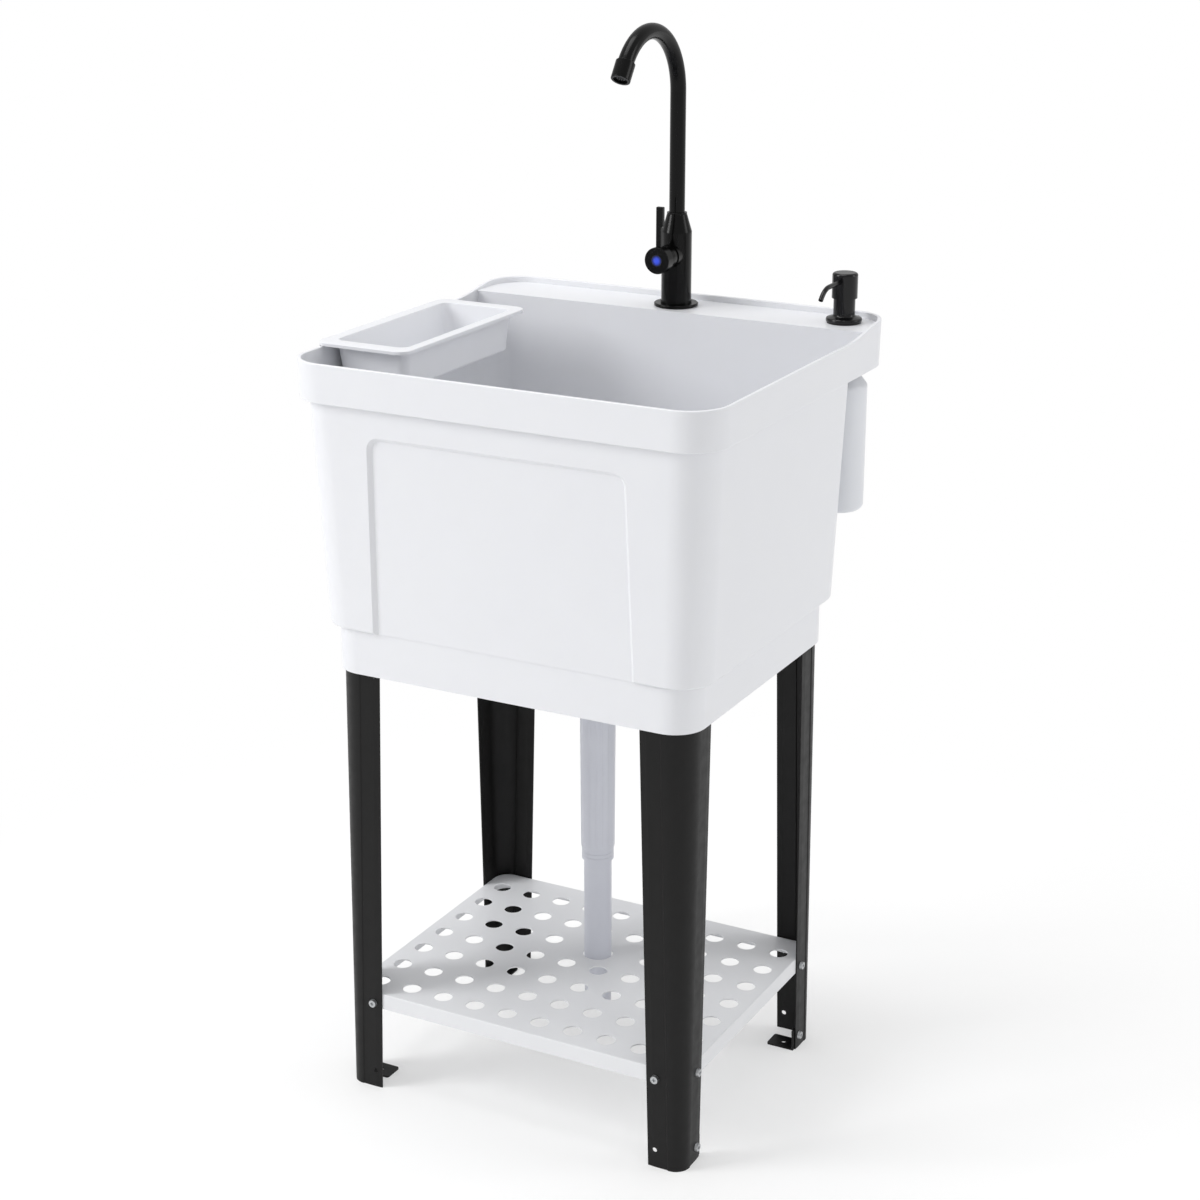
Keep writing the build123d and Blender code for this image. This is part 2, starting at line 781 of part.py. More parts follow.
with BuildPart() as shelf:
    with BuildSketch(Plane.XY.offset(shelf_height - apron_height)):
        rounded_rectangle(shelf_half_width, shelf_front, shelf_rear, shelf_corner_radius)
    extrude(amount=apron_height)
    fillet(shelf.faces().sort_by(Axis.Z)[-1].edges(), shelf_sheet)
    with BuildSketch(Plane.XY.offset(shelf_height - apron_height)):
        rounded_rectangle(
            shelf_half_width - shelf_sheet,
            shelf_front + shelf_sheet,
            shelf_rear - shelf_sheet,
            shelf_corner_radius - shelf_sheet,
        )
    extrude(amount=apron_height - shelf_sheet, mode=Mode.SUBTRACT)
    # Holes in rows and columns, left out where the drain pipe passes.
    drain_pass_radius = outlet_radius + shelf_drain_clearance
    shelf_middle_y = (shelf_front + shelf_rear) / 2 + shelf_rows_shift
    shelf_columns = 1 + int((2 * shelf_half_width - 2 * shelf_hole_margin) // shelf_column_pitch)
    shelf_rows = 1 + int((shelf_rear - shelf_front - 2 * shelf_hole_margin) // shelf_row_pitch)
    with BuildSketch(Plane.XY.offset(shelf_height)):
        for column in range(shelf_columns):
            hole_x = (column - (shelf_columns - 1) / 2) * shelf_column_pitch
            for row in range(shelf_rows):
                hole_y = shelf_middle_y + (row - (shelf_rows - 1) / 2) * shelf_row_pitch
                from_drain = Vector(hole_x, hole_y - drain_y).length
                if from_drain > drain_pass_radius + shelf_hole_radius + shelf_web:
                    with Locations((hole_x, hole_y)):
                        Circle(shelf_hole_radius)
        with Locations((0, drain_y)):
            Circle(drain_pass_radius)
    extrude(amount=-shelf_sheet, mode=Mode.SUBTRACT)
    # Bolt holes in the apron.
    for side in (-1, 1):
        for bolt_y in (front_bolt_y, rear_bolt_y):
            bolt_point = (side * shelf_half_width, bolt_y, shelf_bolt_height)
            drill(bolt_point, (1, 0, 0), bolt_radius + bolt_clearance, 2 * shelf_sheet)
        for apron_y in (shelf_front, shelf_rear):
            bolt_point = (side * side_bolt_x, apron_y, shelf_bolt_height)
            drill(bolt_point, (0, 1, 0), bolt_radius + bolt_clearance, 2 * shelf_sheet)

shelf.part.label = "shelf"
export_step(shelf.part, "parts/shelf.step")

shelf_bolt_length = leg_sheet + shelf_sheet + nut_thickness + bolt_radius / 2

with BuildPart() as shelf_screws:
    for side in (-1, 1):
        for bolt_y in (front_bolt_y, rear_bolt_y):
            seat = (side * foot_bolt_seat_x, bolt_y, shelf_bolt_height)
            screw(seat, (side, 0, 0), shelf_bolt_length, bolt_radius, bolt_head_height)
        for end, seat_y in ((-1, leg_front + leg_joggle), (1, leg_rear - leg_joggle)):
            seat = (side * side_bolt_x, seat_y, shelf_bolt_height)
            screw(seat, (0, end, 0), shelf_bolt_length, bolt_radius, bolt_head_height)

shelf_screws.part.label = "shelf_screws"
export_step(shelf_screws.part, "parts/shelf_screws.step")

with BuildPart() as shelf_nuts:
    for side in (-1, 1):
        for bolt_y in (front_bolt_y, rear_bolt_y):
            seat = (side * (shelf_half_width - shelf_sheet), bolt_y, shelf_bolt_height)
            hex_nut(seat, (-side, 0, 0))
        for end, seat_y in ((-1, shelf_front + shelf_sheet), (1, shelf_rear - shelf_sheet)):
            seat = (side * side_bolt_x, seat_y, shelf_bolt_height)
            hex_nut(seat, (0, -end, 0))

shelf_nuts.part.label = "shelf_nuts"
export_step(shelf_nuts.part, "parts/shelf_nuts.step")

# Faucet: fixed pieces on the deck's middle hole.
faucet_flange_bottom = deck_top + faucet_gasket_thickness
faucet_body_bottom = faucet_flange_bottom + faucet_flange_thickness
faucet_cone_bottom = faucet_body_bottom + faucet_body_height
faucet_body_top = faucet_cone_bottom + faucet_cone_height
shank_bottom = faucet_flange_bottom - shank_length
spout_foot = faucet_body_top - spout_insert
spout_bore = spout_radius + running_clearance
handle_way = Vector(0, -1, 0)
handle_centre = Vector(0, faucet_y, handle_height)


def handle_plane(reach):
    """Plane across the handle's axis, at a distance out from the faucet's axis."""
    return Plane(origin=handle_centre + handle_way * reach, x_dir=(0, 0, 1), z_dir=handle_way)


with BuildPart() as faucet_flange:
    turned(
        0,
        faucet_y,
        [
            (faucet_neck_radius, faucet_flange_bottom),
            (faucet_flange_radius, faucet_flange_bottom),
            (faucet_flange_radius, faucet_body_bottom),
            (faucet_neck_radius, faucet_body_bottom),
        ],
    )
    fillet(faucet_flange.edges().group_by(Axis.Z)[-1].sort_by(SortBy.RADIUS)[-1], rim_edge_radius)

faucet_flange.part.label = "faucet_flange"
export_step(faucet_flange.part, "parts/faucet_flange.step")

with BuildPart() as faucet_gasket:
    turned(
        0,
        faucet_y,
        [
            (faucet_neck_radius, deck_top),
            (faucet_gasket_radius, deck_top),
            (faucet_gasket_radius, faucet_flange_bottom),
            (faucet_neck_radius, faucet_flange_bottom),
        ],
    )

faucet_gasket.part.label = "faucet_gasket"
export_step(faucet_gasket.part, "parts/faucet_gasket.step")

with BuildPart() as faucet_body:
    turned(
        0,
        faucet_y,
        [
            (0, faucet_body_bottom),
            (faucet_foot_radius, faucet_body_bottom),
            (faucet_foot_radius, faucet_body_bottom + faucet_foot_height),
            (faucet_body_radius, faucet_body_bottom + faucet_foot_height),
            (faucet_body_radius, faucet_cone_bottom - faucet_cone_groove),
            (faucet_body_radius - faucet_cone_groove, faucet_cone_bottom - faucet_cone_groove),
            (faucet_body_radius - faucet_cone_groove, faucet_cone_bottom),
            (faucet_body_radius, faucet_cone_bottom),
            (faucet_neck_radius, faucet_body_top - faucet_neck_edge),
            (faucet_neck_radius, faucet_body_top),
            (0, faucet_body_top),
        ],
    )
    fillet(faucet_body.edges().group_by(Axis.Z)[-1], faucet_cone_groove)
    with BuildSketch(handle_plane(0)) as stub:
        Circle(stub_radius)
    extrude(stub.sketch, amount=stub_reach)
    with BuildSketch(handle_plane(0)) as stub_ring:
        Circle(stub_ring_radius)
    extrude(stub_ring.sketch, amount=stub_ring_reach)
    # Fine grooves round the stub's free end.
    for groove in (1, 2, 3):
        with BuildSketch(handle_plane(stub_reach - groove * stub_groove_pitch)) as stub_groove_ring:
            Circle(stub_radius + stub_groove)
            Circle(stub_radius - stub_groove, mode=Mode.SUBTRACT)
        extrude(stub_groove_ring.sketch, amount=2 * stub_groove, mode=Mode.SUBTRACT)
    # Spout bore from above, cartridge bore in the stub and the waterway between them.
    turned(
        0,
        faucet_y,
        [
            (0, faucet_body_bottom),
            (waterway_radius, faucet_body_bottom),
            (waterway_radius, spout_foot),
            (spout_bore, spout_foot),
            (spout_bore, faucet_body_top),
            (0, faucet_body_top),
        ],
        Mode.SUBTRACT,
    )
    with BuildSketch(handle_plane(stub_reach)) as cartridge_bore:
        Circle(cartridge_radius)
    extrude(cartridge_bore.sketch, amount=-cartridge_depth, mode=Mode.SUBTRACT)
    with BuildSketch(handle_plane(0)) as cartridge_port:
        Circle(waterway_radius / 2)
    extrude(cartridge_port.sketch, amount=stub_reach, mode=Mode.SUBTRACT)

faucet_body.part.label = "faucet_body"
export_step(faucet_body.part, "parts/faucet_body.step")

with BuildPart() as faucet_shank:
    turned(
        0,
        faucet_y,
        [
            (waterway_radius, shank_bottom),
            (shank_tail_radius, shank_bottom),
            (shank_tail_radius, shank_bottom + shank_tail_length),
            (shank_radius, shank_bottom + shank_tail_length),
            (shank_radius, faucet_body_bottom),
            (waterway_radius, faucet_body_bottom),
        ],
    )
    chamfer(faucet_shank.edges().group_by(Axis.Z)[0], rim_edge_radius / 2)

faucet_shank.part.label = "faucet_shank"
export_step(faucet_shank.part, "parts/faucet_shank.step")

washer_bottom = deck_bottom - faucet_washer_thickness

with BuildPart() as faucet_washer:
    turned(
        0,
        faucet_y,
        [
            (shank_radius + thread_clearance, washer_bottom),
            (faucet_washer_radius, washer_bottom),
            (faucet_washer_radius, deck_bottom),
            (shank_radius + thread_clearance, deck_bottom),
        ],
    )

faucet_washer.part.label = "faucet_washer"
export_step(faucet_washer.part, "parts/faucet_washer.step")


def grip_nut(x, y, top, thickness, outer, inner, grips):
    """Round nut with grip slots round its edge."""
    with BuildSketch(Plane.XY.offset(top)) as nut:
        with Locations((x, y)):
            Circle(outer)
            Circle(inner, mode=Mode.SUBTRACT)
            with PolarLocations(outer, grips):
                Circle(outer / grips, mode=Mode.SUBTRACT)
    extrude(nut.sketch, amount=-thickness)


with BuildPart() as faucet_nut:
    grip_nut(
        0,
        faucet_y,
        washer_bottom,
        faucet_nut_thickness,
        faucet_nut_radius,
        shank_radius + thread_clearance,
        12,
    )

faucet_nut.part.label = "faucet_nut"
export_step(faucet_nut.part, "parts/faucet_nut.step")

# Spout: swan-neck tube that turns in the body, with its seals and the aerator.
half_bend = radians(spout_bend_angle / 2)
full_bend = radians(spout_bend_angle)
spout_start = Vector(0, faucet_y, spout_foot)
bend_start = Vector(0, faucet_y, spout_straight_top)
bend_middle = bend_start + spout_bend_radius * Vector(0, cos(half_bend) - 1, sin(half_bend))
bend_end = bend_start + spout_bend_radius * Vector(0, cos(full_bend) - 1, sin(full_bend))
outlet_way = Vector(0, -sin(full_bend), cos(full_bend))
spout_tip = bend_end + outlet_way * spout_thread_length
seal_grooves = [spout_foot + seal_spacing, spout_foot + 2 * seal_spacing]

with BuildPart() as spout:
    with BuildLine() as spout_path:
        Line(spout_start, bend_start)
        ThreePointArc(bend_start, bend_middle, bend_end)
        Line(bend_end, spout_tip)
    with BuildSketch(Plane(origin=spout_start, z_dir=(0, 0, 1))):
        Circle(spout_radius)
        Circle(spout_radius - spout_wall, mode=Mode.SUBTRACT)
    sweep(path=spout_path.line)
    for groove_bottom in seal_grooves:
        turned(
            0,
            faucet_y,
            [
                (spout_radius - seal_section_radius, groove_bottom),
                (spout_radius + 1, groove_bottom),
                (spout_radius + 1, groove_bottom + 2 * seal_section_radius),
                (spout_radius - seal_section_radius, groove_bottom + 2 * seal_section_radius),
            ],
            Mode.SUBTRACT,
        )

spout.part.label = "spout"
export_step(spout.part, "parts/spout.step")

with BuildPart() as spout_seals:
    for groove_bottom in seal_grooves:
        turned(
            0,
            faucet_y,
            [
                (spout_radius - seal_section_radius, groove_bottom),
                (spout_radius, groove_bottom),
                (spout_radius, groove_bottom + 2 * seal_section_radius),
                (spout_radius - seal_section_radius, groove_bottom + 2 * seal_section_radius),
            ],
        )

spout_seals.part.label = "spout_seals"
export_step(spout_seals.part, "parts/spout_seals.step")

# The aerator's skirt reaches a little way up round the end of the bend.
aerator_start = bend_end - outlet_way * aerator_cover
aerator_grip_end = aerator_cover + spout_thread_length

with BuildPart() as aerator:
    with BuildSketch(Plane(origin=aerator_start, x_dir=(1, 0, 0), z_dir=outlet_way)):
        Circle(aerator_radius)
    extrude(amount=aerator_length)
    fillet(aerator.edges(), rim_edge_radius / 2)
    with BuildSketch(Plane(origin=aerator_start, x_dir=(1, 0, 0), z_dir=outlet_way)):
        Circle(spout_radius + aerator_cover_clearance)
    extrude(amount=aerator_grip_end, mode=Mode.SUBTRACT)
    outlet_face = Plane(
        origin=aerator_start + outlet_way * aerator_length, x_dir=(1, 0, 0), z_dir=outlet_way
    )
    with BuildSketch(outlet_face):
        Circle(aerator_outlet_radius)
    extrude(amount=-aerator_screen_inset, mode=Mode.SUBTRACT)
    # Space behind the screen, then the jets through it.
    behind_screen = aerator_screen_inset + aerator_screen_thickness
    with BuildSketch(outlet_face.offset(-behind_screen)):
        Circle(spout_radius - spout_wall)
    extrude(amount=behind_screen + aerator_grip_end - aerator_length, mode=Mode.SUBTRACT)
    with BuildSketch(outlet_face):
        Circle(aerator_jet_radius)
        with PolarLocations(aerator_outlet_radius / 3, 6):
            Circle(aerator_jet_radius)
        with PolarLocations(aerator_outlet_radius * 2 / 3, 12):
            Circle(aerator_jet_radius)
    extrude(amount=-behind_screen, mode=Mode.SUBTRACT)

aerator.part.label = "aerator"
export_step(aerator.part, "parts/aerator.step")

# Cartridge in the stub, with the spindle that the hub turns on.
with BuildPart() as cartridge:
    with BuildSketch(handle_plane(stub_reach - cartridge_depth)):
        Circle(cartridge_radius)
        Circle(waterway_radius / 2, mode=Mode.SUBTRACT)
    extrude(amount=cartridge_depth)
    with BuildSketch(handle_plane(stub_reach - spindle_length)):
        Circle(spindle_radius)
    extrude(amount=2 * spindle_length)

cartridge.part.label = "cartridge"
export_step(cartridge.part, "parts/cartridge.step")

hub_start = stub_reach + hub_gap
hub_end = hub_start + hub_length

with BuildPart() as handle_hub:
    with BuildSketch(handle_plane(hub_start)):
        Circle(hub_radius)
    extrude(amount=hub_length)
    hub_front = handle_hub.faces().sort_by(Axis(handle_centre, handle_way))[-1]
    fillet(hub_front.edges(), hub_edge_radius)
    with BuildSketch(handle_plane(hub_end)):
        Circle(index_radius)
    extrude(amount=-index_thickness, mode=Mode.SUBTRACT)
    with BuildSketch(handle_plane(hub_start)):
        Circle(spindle_radius + running_clearance)
    extrude(amount=spindle_length, mode=Mode.SUBTRACT)
    # Slot in the hub's top for the lever.
    with BuildSketch(Plane.XY.offset(handle_height + hub_radius)):
        lever_foot = handle_centre + handle_way * (hub_end - lever_setback)
        with Locations((lever_foot.X, lever_foot.Y)):
            Rectangle(lever_neck_width, lever_thickness)
    extrude(amount=-lever_socket_depth, mode=Mode.SUBTRACT)

handle_hub.part.label = "handle_hub"
export_step(handle_hub.part, "parts/handle_hub.step")

lever_left = -lever_neck_width / 2
lever_bottom = handle_height + hub_radius - lever_socket_depth
lever_top = handle_height + lever_length
lever_step = lever_top - lever_head_length

with BuildPart() as handle_lever:
    # Narrow neck with a wider head; the left edge is straight.
    with BuildSketch(Plane.XZ.offset(-lever_foot.Y)):
        with BuildLine():
            Polyline(
                (lever_left, lever_bottom),
                (lever_left, lever_top),
                (lever_left + lever_width, lever_top),
                (lever_left + lever_width, lever_step),
                (lever_left + lever_neck_width, lever_step - lever_step_slope),
                (lever_left + lever_neck_width, lever_bottom),
                close=True,
            )
        make_face()
    extrude(amount=lever_thickness / 2, both=True)
    fillet(handle_lever.edges().group_by(Axis.Z)[-1], lever_corner_radius)

handle_lever.part.label = "handle_lever"
export_step(handle_lever.part, "parts/handle_lever.step")

with BuildPart() as handle_index:
    with BuildSketch(handle_plane(hub_end)):
        Circle(index_radius)
    extrude(amount=-index_thickness)

handle_index.part.label = "handle_index"
export_step(handle_index.part, "parts/handle_index.step")

# Soap dispenser: fixed pieces on the deck's right hole.
collar_bottom = deck_top + dispenser_gasket_thickness
collar_top = collar_bottom + collar_neck_height
collar_bore = housing_radius + thread_clearance
housing_bottom = collar_top - housing_length
housing_top = collar_top + housing_flange_thickness
chamber_bottom = housing_bottom + housing_floor
chamber_top = housing_top - housing_cap_thickness
bottle_top = deck_bottom - dispenser_nut_thickness - bottle_neck_gap
bottle_bottom = bottle_top - bottle_height
bottle_neck_bore = collar_shank_radius + thread_clearance
bottle_neck_radius = bottle_neck_bore + bottle_neck_wall
piston_top = chamber_top - piston_gap
piston_bottom = piston_top - piston_length
head_bottom = collar_top - head_overlap
head_top = head_bottom + head_height
head_cavity_top = housing_top + pump_stroke + head_stroke_clearance
stem_top = head_cavity_top + stem_socket_depth
nozzle_height = head_top - nozzle_drop

with BuildPart() as dispenser_collar:
    turned(
        dispenser_x,
        dispenser_y,
        [
            (collar_bore, collar_bottom - collar_shank_length),
            (collar_shank_radius, collar_bottom - collar_shank_length),
            (collar_shank_radius, collar_bottom),
            (collar_flange_radius, collar_bottom),
            (collar_flange_radius, collar_bottom + collar_flange_edge),
            (collar_neck_radius, collar_bottom + collar_flange_height),
            (collar_neck_radius, collar_top),
            (collar_bore, collar_top),
        ],
    )
    flange_edges = dispenser_collar.edges().filter_by(GeomType.CIRCLE).filter_by(
        lambda edge: abs(edge.radius - collar_flange_radius) < 0.01
    )
    fillet(flange_edges, collar_flange_round)
    neck_foot = dispenser_collar.edges().filter_by_position(
        Axis.Z,
        collar_bottom + collar_flange_height - 0.01,
        collar_bottom + collar_flange_height + 0.01,
    )
    fillet(neck_foot, collar_neck_round)

dispenser_collar.part.label = "dispenser_collar"
export_step(dispenser_collar.part, "parts/dispenser_collar.step")

with BuildPart() as dispenser_gasket:
    turned(
        dispenser_x,
        dispenser_y,
        [
            (collar_shank_radius + thread_clearance, deck_top),
            (dispenser_gasket_radius, deck_top),
            (dispenser_gasket_radius, collar_bottom),
            (collar_shank_radius + thread_clearance, collar_bottom),
        ],
    )

dispenser_gasket.part.label = "dispenser_gasket"
export_step(dispenser_gasket.part, "parts/dispenser_gasket.step")

with BuildPart() as dispenser_nut:
    grip_nut(
        dispenser_x,
        dispenser_y,
        deck_bottom,
        dispenser_nut_thickness,
        dispenser_nut_radius,
        collar_shank_radius + thread_clearance,
        12,
    )

dispenser_nut.part.label = "dispenser_nut"
export_step(dispenser_nut.part, "parts/dispenser_nut.step")

neck_bottom = bottle_top - bottle_neck_length
shoulder_bottom = neck_bottom - bottle_shoulder_height

with BuildPart() as dispenser_bottle:
    turned(
        dispenser_x,
        dispenser_y,
        [
            (0, bottle_bottom),
            (bottle_radius, bottle_bottom),
            (bottle_radius, shoulder_bottom),
            (bottle_neck_radius, neck_bottom),
            (bottle_neck_radius, bottle_top),
            (0, bottle_top),
        ],
    )
    fillet(dispenser_bottle.edges().group_by(Axis.Z)[0], bottle_edge_radius)
    shoulder_edge = dispenser_bottle.edges().filter_by_position(
        Axis.Z, shoulder_bottom - 0.01, shoulder_bottom + 0.01
    )
    fillet(shoulder_edge, bottle_shoulder_radius)
    turned(
        dispenser_x,
        dispenser_y,
        [
            (0, bottle_bottom + bottle_wall),
            (bottle_radius - bottle_edge_radius, bottle_bottom + bottle_wall),
            (bottle_radius - bottle_wall, bottle_bottom + bottle_edge_radius),
            (bottle_radius - bottle_wall, shoulder_bottom),
            (bottle_neck_bore, neck_bottom),
            (bottle_neck_bore, bottle_top),
            (0, bottle_top),
        ],
        Mode.SUBTRACT,
    )

dispenser_bottle.part.label = "dispenser_bottle"
export_step(dispenser_bottle.part, "parts/dispenser_bottle.step")

with BuildPart() as pump_housing:
    turned(
        dispenser_x,
        dispenser_y,
        [
            (passage_radius, housing_bottom - nipple_length),
            (nipple_radius, housing_bottom - nipple_length),
            (nipple_radius, housing_bottom),
            (housing_radius, housing_bottom),
            (housing_radius, collar_top),
            (housing_flange_radius, collar_top),
            (housing_flange_radius, housing_top),
            (stem_radius + running_clearance, housing_top),
            (stem_radius + running_clearance, chamber_top),
            (housing_bore, chamber_top),
            (housing_bore, chamber_bottom),
            (passage_radius, chamber_bottom),
        ],
    )

pump_housing.part.label = "pump_housing"
export_step(pump_housing.part, "parts/pump_housing.step")

dip_tube_bottom = bottle_bottom + bottle_wall + dip_tube_end_gap

with BuildPart() as dip_tube:
    turned(
        dispenser_x,
        dispenser_y,
        [
            (nipple_radius, dip_tube_bottom),
            (nipple_radius + dip_tube_wall, dip_tube_bottom),
            (nipple_radius + dip_tube_wall, housing_bottom),
            (nipple_radius, housing_bottom),
        ],
    )

dip_tube.part.label = "dip_tube"
export_step(dip_tube.part, "parts/dip_tube.step")

# Return spring between the chamber's floor and the piston.
spring_height = piston_bottom - chamber_bottom - 2 * spring_wire_radius

with BuildPart() as pump_spring:
    with BuildLine() as coil:
        Helix(
            pitch=spring_height / spring_turns,
            height=spring_height,
            radius=spring_mean_radius,
            center=(dispenser_x, dispenser_y, chamber_bottom + spring_wire_radius),
        )
    with BuildSketch(Plane(origin=coil.line @ 0, z_dir=coil.line % 0)):
        Circle(spring_wire_radius)
    sweep(path=coil.line, is_frenet=True)

pump_spring.part.label = "pump_spring"
export_step(pump_spring.part, "parts/pump_spring.step")

# Moving stem with its piston.
with BuildPart() as pump_stem:
    turned(
        dispenser_x,
        dispenser_y,
        [
            (passage_radius, piston_bottom),
            (housing_bore - running_clearance, piston_bottom),
            (housing_bore - running_clearance, piston_top),
            (stem_radius, piston_top),
            (stem_radius, stem_top),
            (passage_radius, stem_top),
        ],
    )

pump_stem.part.label = "pump_stem"
export_step(pump_stem.part, "parts/pump_stem.step")

with BuildPart() as pump_head:
    turned(
        dispenser_x,
        dispenser_y,
        [
            (0, head_bottom),
            (head_radius, head_bottom),
            (head_radius, head_top),
            (0, head_top),
        ],
    )
    fillet(pump_head.edges().group_by(Axis.Z)[-1], head_edge_radius)
    turned(
        dispenser_x,
        dispenser_y,
        [
            (0, head_bottom),
            (collar_neck_radius + head_side_clearance, head_bottom),
            (collar_neck_radius + head_side_clearance, head_cavity_top),
            (stem_radius + running_clearance, head_cavity_top),
            (stem_radius + running_clearance, stem_top + passage_radius),
            (0, stem_top + passage_radius),
        ],
        Mode.SUBTRACT,
    )
    # Outlet from over the stem to the nozzle, which is pushed in from the front.
    outlet_plane = Plane(origin=(dispenser_x, dispenser_y, nozzle_height), z_dir=(0, -1, 0))
    with BuildSketch(outlet_plane):
        Circle(passage_radius)
    extrude(amount=head_radius, mode=Mode.SUBTRACT)
    with BuildSketch(outlet_plane.offset(nozzle_root)):
        Circle(nozzle_radius)
    extrude(amount=head_radius, mode=Mode.SUBTRACT)

pump_head.part.label = "pump_head"
export_step(pump_head.part, "parts/pump_head.step")

with BuildPart() as pump_nozzle:
    with BuildLine() as nozzle_path:
        nozzle_start = Vector(dispenser_x, dispenser_y - nozzle_root, nozzle_height)
        nozzle_bend = Vector(dispenser_x, dispenser_y - nozzle_straight, nozzle_height)
        half_turn = radians(nozzle_bend_angle / 2)
        full_turn = radians(nozzle_bend_angle)
        nozzle_middle = nozzle_bend + nozzle_bend_radius * Vector(
            0, -sin(half_turn), cos(half_turn) - 1
        )
        nozzle_end = nozzle_bend + nozzle_bend_radius * Vector(
            0, -sin(full_turn), cos(full_turn) - 1
        )
        Line(nozzle_start, nozzle_bend)
        ThreePointArc(nozzle_bend, nozzle_middle, nozzle_end)
        Line(nozzle_end, nozzle_end + nozzle_tip * Vector(0, -cos(full_turn), -sin(full_turn)))
    with BuildSketch(Plane(origin=nozzle_start, z_dir=(0, -1, 0))):
        Circle(nozzle_radius)
        Circle(passage_radius, mode=Mode.SUBTRACT)
    sweep(path=nozzle_path.line)

pump_nozzle.part.label = "pump_nozzle"
export_step(pump_nozzle.part, "parts/pump_nozzle.step")

# Drain: strainer body in the basin's floor, clamped from below.
drain_seat = basin_floor - drain_flange_thickness
cup_bottom = basin_floor - drain_cup_depth
spigot_bottom = cup_bottom - spigot_length
cup_bore = drain_cup_radius - drain_wall
spigot_bore = spigot_radius - drain_wall

with BuildPart() as drain_body:
    turned(
        0,
        drain_y,
        [
            (cup_bore, basin_floor),
            (drain_flange_radius, basin_floor),
            (drain_flange_radius, drain_seat),
            (drain_cup_radius, drain_seat),
            (drain_cup_radius, cup_bottom),
            (spigot_radius, cup_bottom),
            (spigot_radius, spigot_bottom),
            (spigot_bore, spigot_bottom),
            (spigot_bore, cup_bottom + drain_wall),
            (cup_bore, cup_bottom + drain_wall),
        ],
    )
    fillet(drain_body.edges().group_by(Axis.Z)[-1].sort_by(SortBy.RADIUS)[-1], rim_edge_radius)

drain_body.part.label = "drain_body"
export_step(drain_body.part, "parts/drain_body.step")

basket_bottom = basin_floor - basket_cup_depth

with BuildPart() as drain_basket:
    turned(
        0,
        drain_y,
        [
            (0, basket_bottom),
            (basket_cup_radius - basket_wall, basket_bottom),
            (basket_cup_radius, basin_floor),
            (basket_rim_radius, basin_floor),
            (basket_rim_radius, basin_floor + basket_rim_thickness),
            (basket_cup_radius - basket_wall, basin_floor + basket_rim_thickness),
            (basket_cup_radius - 2 * basket_wall, basket_bottom + basket_wall),
            (basket_knob_radius / 2, basket_bottom + basket_wall),
            (basket_knob_radius / 2, basket_bottom + basket_knob_height),
            (basket_knob_radius, basket_bottom + basket_knob_height),
            (basket_knob_radius, basket_bottom + basket_knob_height + basket_knob_radius),
            (0, basket_bottom + basket_knob_height + basket_knob_radius),
        ],
    )
    # Strainer holes in the floor and round the side.
    for circle_radius, hole_count in ((8, 6), (13, 10), (18, 14)):
        with BuildSketch(Plane.XY.offset(basket_bottom)):
            with Locations((0, drain_y)):
                with PolarLocations(circle_radius, hole_count):
                    Circle(basket_hole_radius)
        extrude(amount=basket_wall, mode=Mode.SUBTRACT)
    for level in (basket_cup_depth / 3, basket_cup_depth * 2 / 3):
        for step in range(12):
            hole_way = Vector(1, 0, 0).rotate(Axis.Z, step * 30)
            hole_plane = Plane(
                origin=Vector(0, drain_y, basket_bottom + level) + hole_way * basket_cup_radius / 2,
                z_dir=hole_way,
            )
            with BuildSketch(hole_plane) as side_hole:
                Circle(basket_hole_radius)
            extrude(side_hole.sketch, amount=basket_cup_radius, mode=Mode.SUBTRACT)

drain_basket.part.label = "drain_basket"
export_step(drain_basket.part, "parts/drain_basket.step")

drain_hole = drain_cup_radius + thread_clearance
drain_gasket_bottom = floor_bottom - drain_gasket_thickness

with BuildPart() as drain_gasket:
    turned(
        0,
        drain_y,
        [
            (drain_hole, drain_gasket_bottom),
            (drain_gasket_radius, drain_gasket_bottom),
            (drain_gasket_radius, floor_bottom),
            (drain_hole, floor_bottom),
        ],
    )

drain_gasket.part.label = "drain_gasket"
export_step(drain_gasket.part, "parts/drain_gasket.step")

with BuildPart() as drain_locknut:
    grip_nut(
        0, drain_y, drain_gasket_bottom, locknut_thickness, locknut_radius, drain_hole, 12
    )

drain_locknut.part.label = "drain_locknut"
export_step(drain_locknut.part, "parts/drain_locknut.step")

# Pipes under the basin.
slip_nut_bottom = spigot_bottom - tailpiece_flange_thickness - slip_nut_lip
taper_bottom = tailpiece_draft_bottom - tailpiece_taper
tailpiece_bore = tailpiece_radius - tailpiece_wall
tailpiece_foot_bore = tailpiece_foot_radius - tailpiece_wall
drain_collar_bottom = taper_bottom - drain_collar_height

with BuildPart() as slip_nut:
    with BuildSketch(Plane.XY.offset(slip_nut_bottom)):
        with Locations((0, drain_y)):
            Circle(slip_nut_radius)
            with PolarLocations(slip_nut_radius, 16):
                Circle(slip_nut_radius / 16, mode=Mode.SUBTRACT)
            Circle(tailpiece_radius + thread_clearance, mode=Mode.SUBTRACT)
    extrude(amount=slip_nut_height)
    with BuildSketch(Plane.XY.offset(slip_nut_bottom + slip_nut_lip)):
        with Locations((0, drain_y)):
            Circle(spigot_radius + thread_clearance)
    extrude(amount=slip_nut_height, mode=Mode.SUBTRACT)

slip_nut.part.label = "slip_nut"
export_step(slip_nut.part, "parts/slip_nut.step")

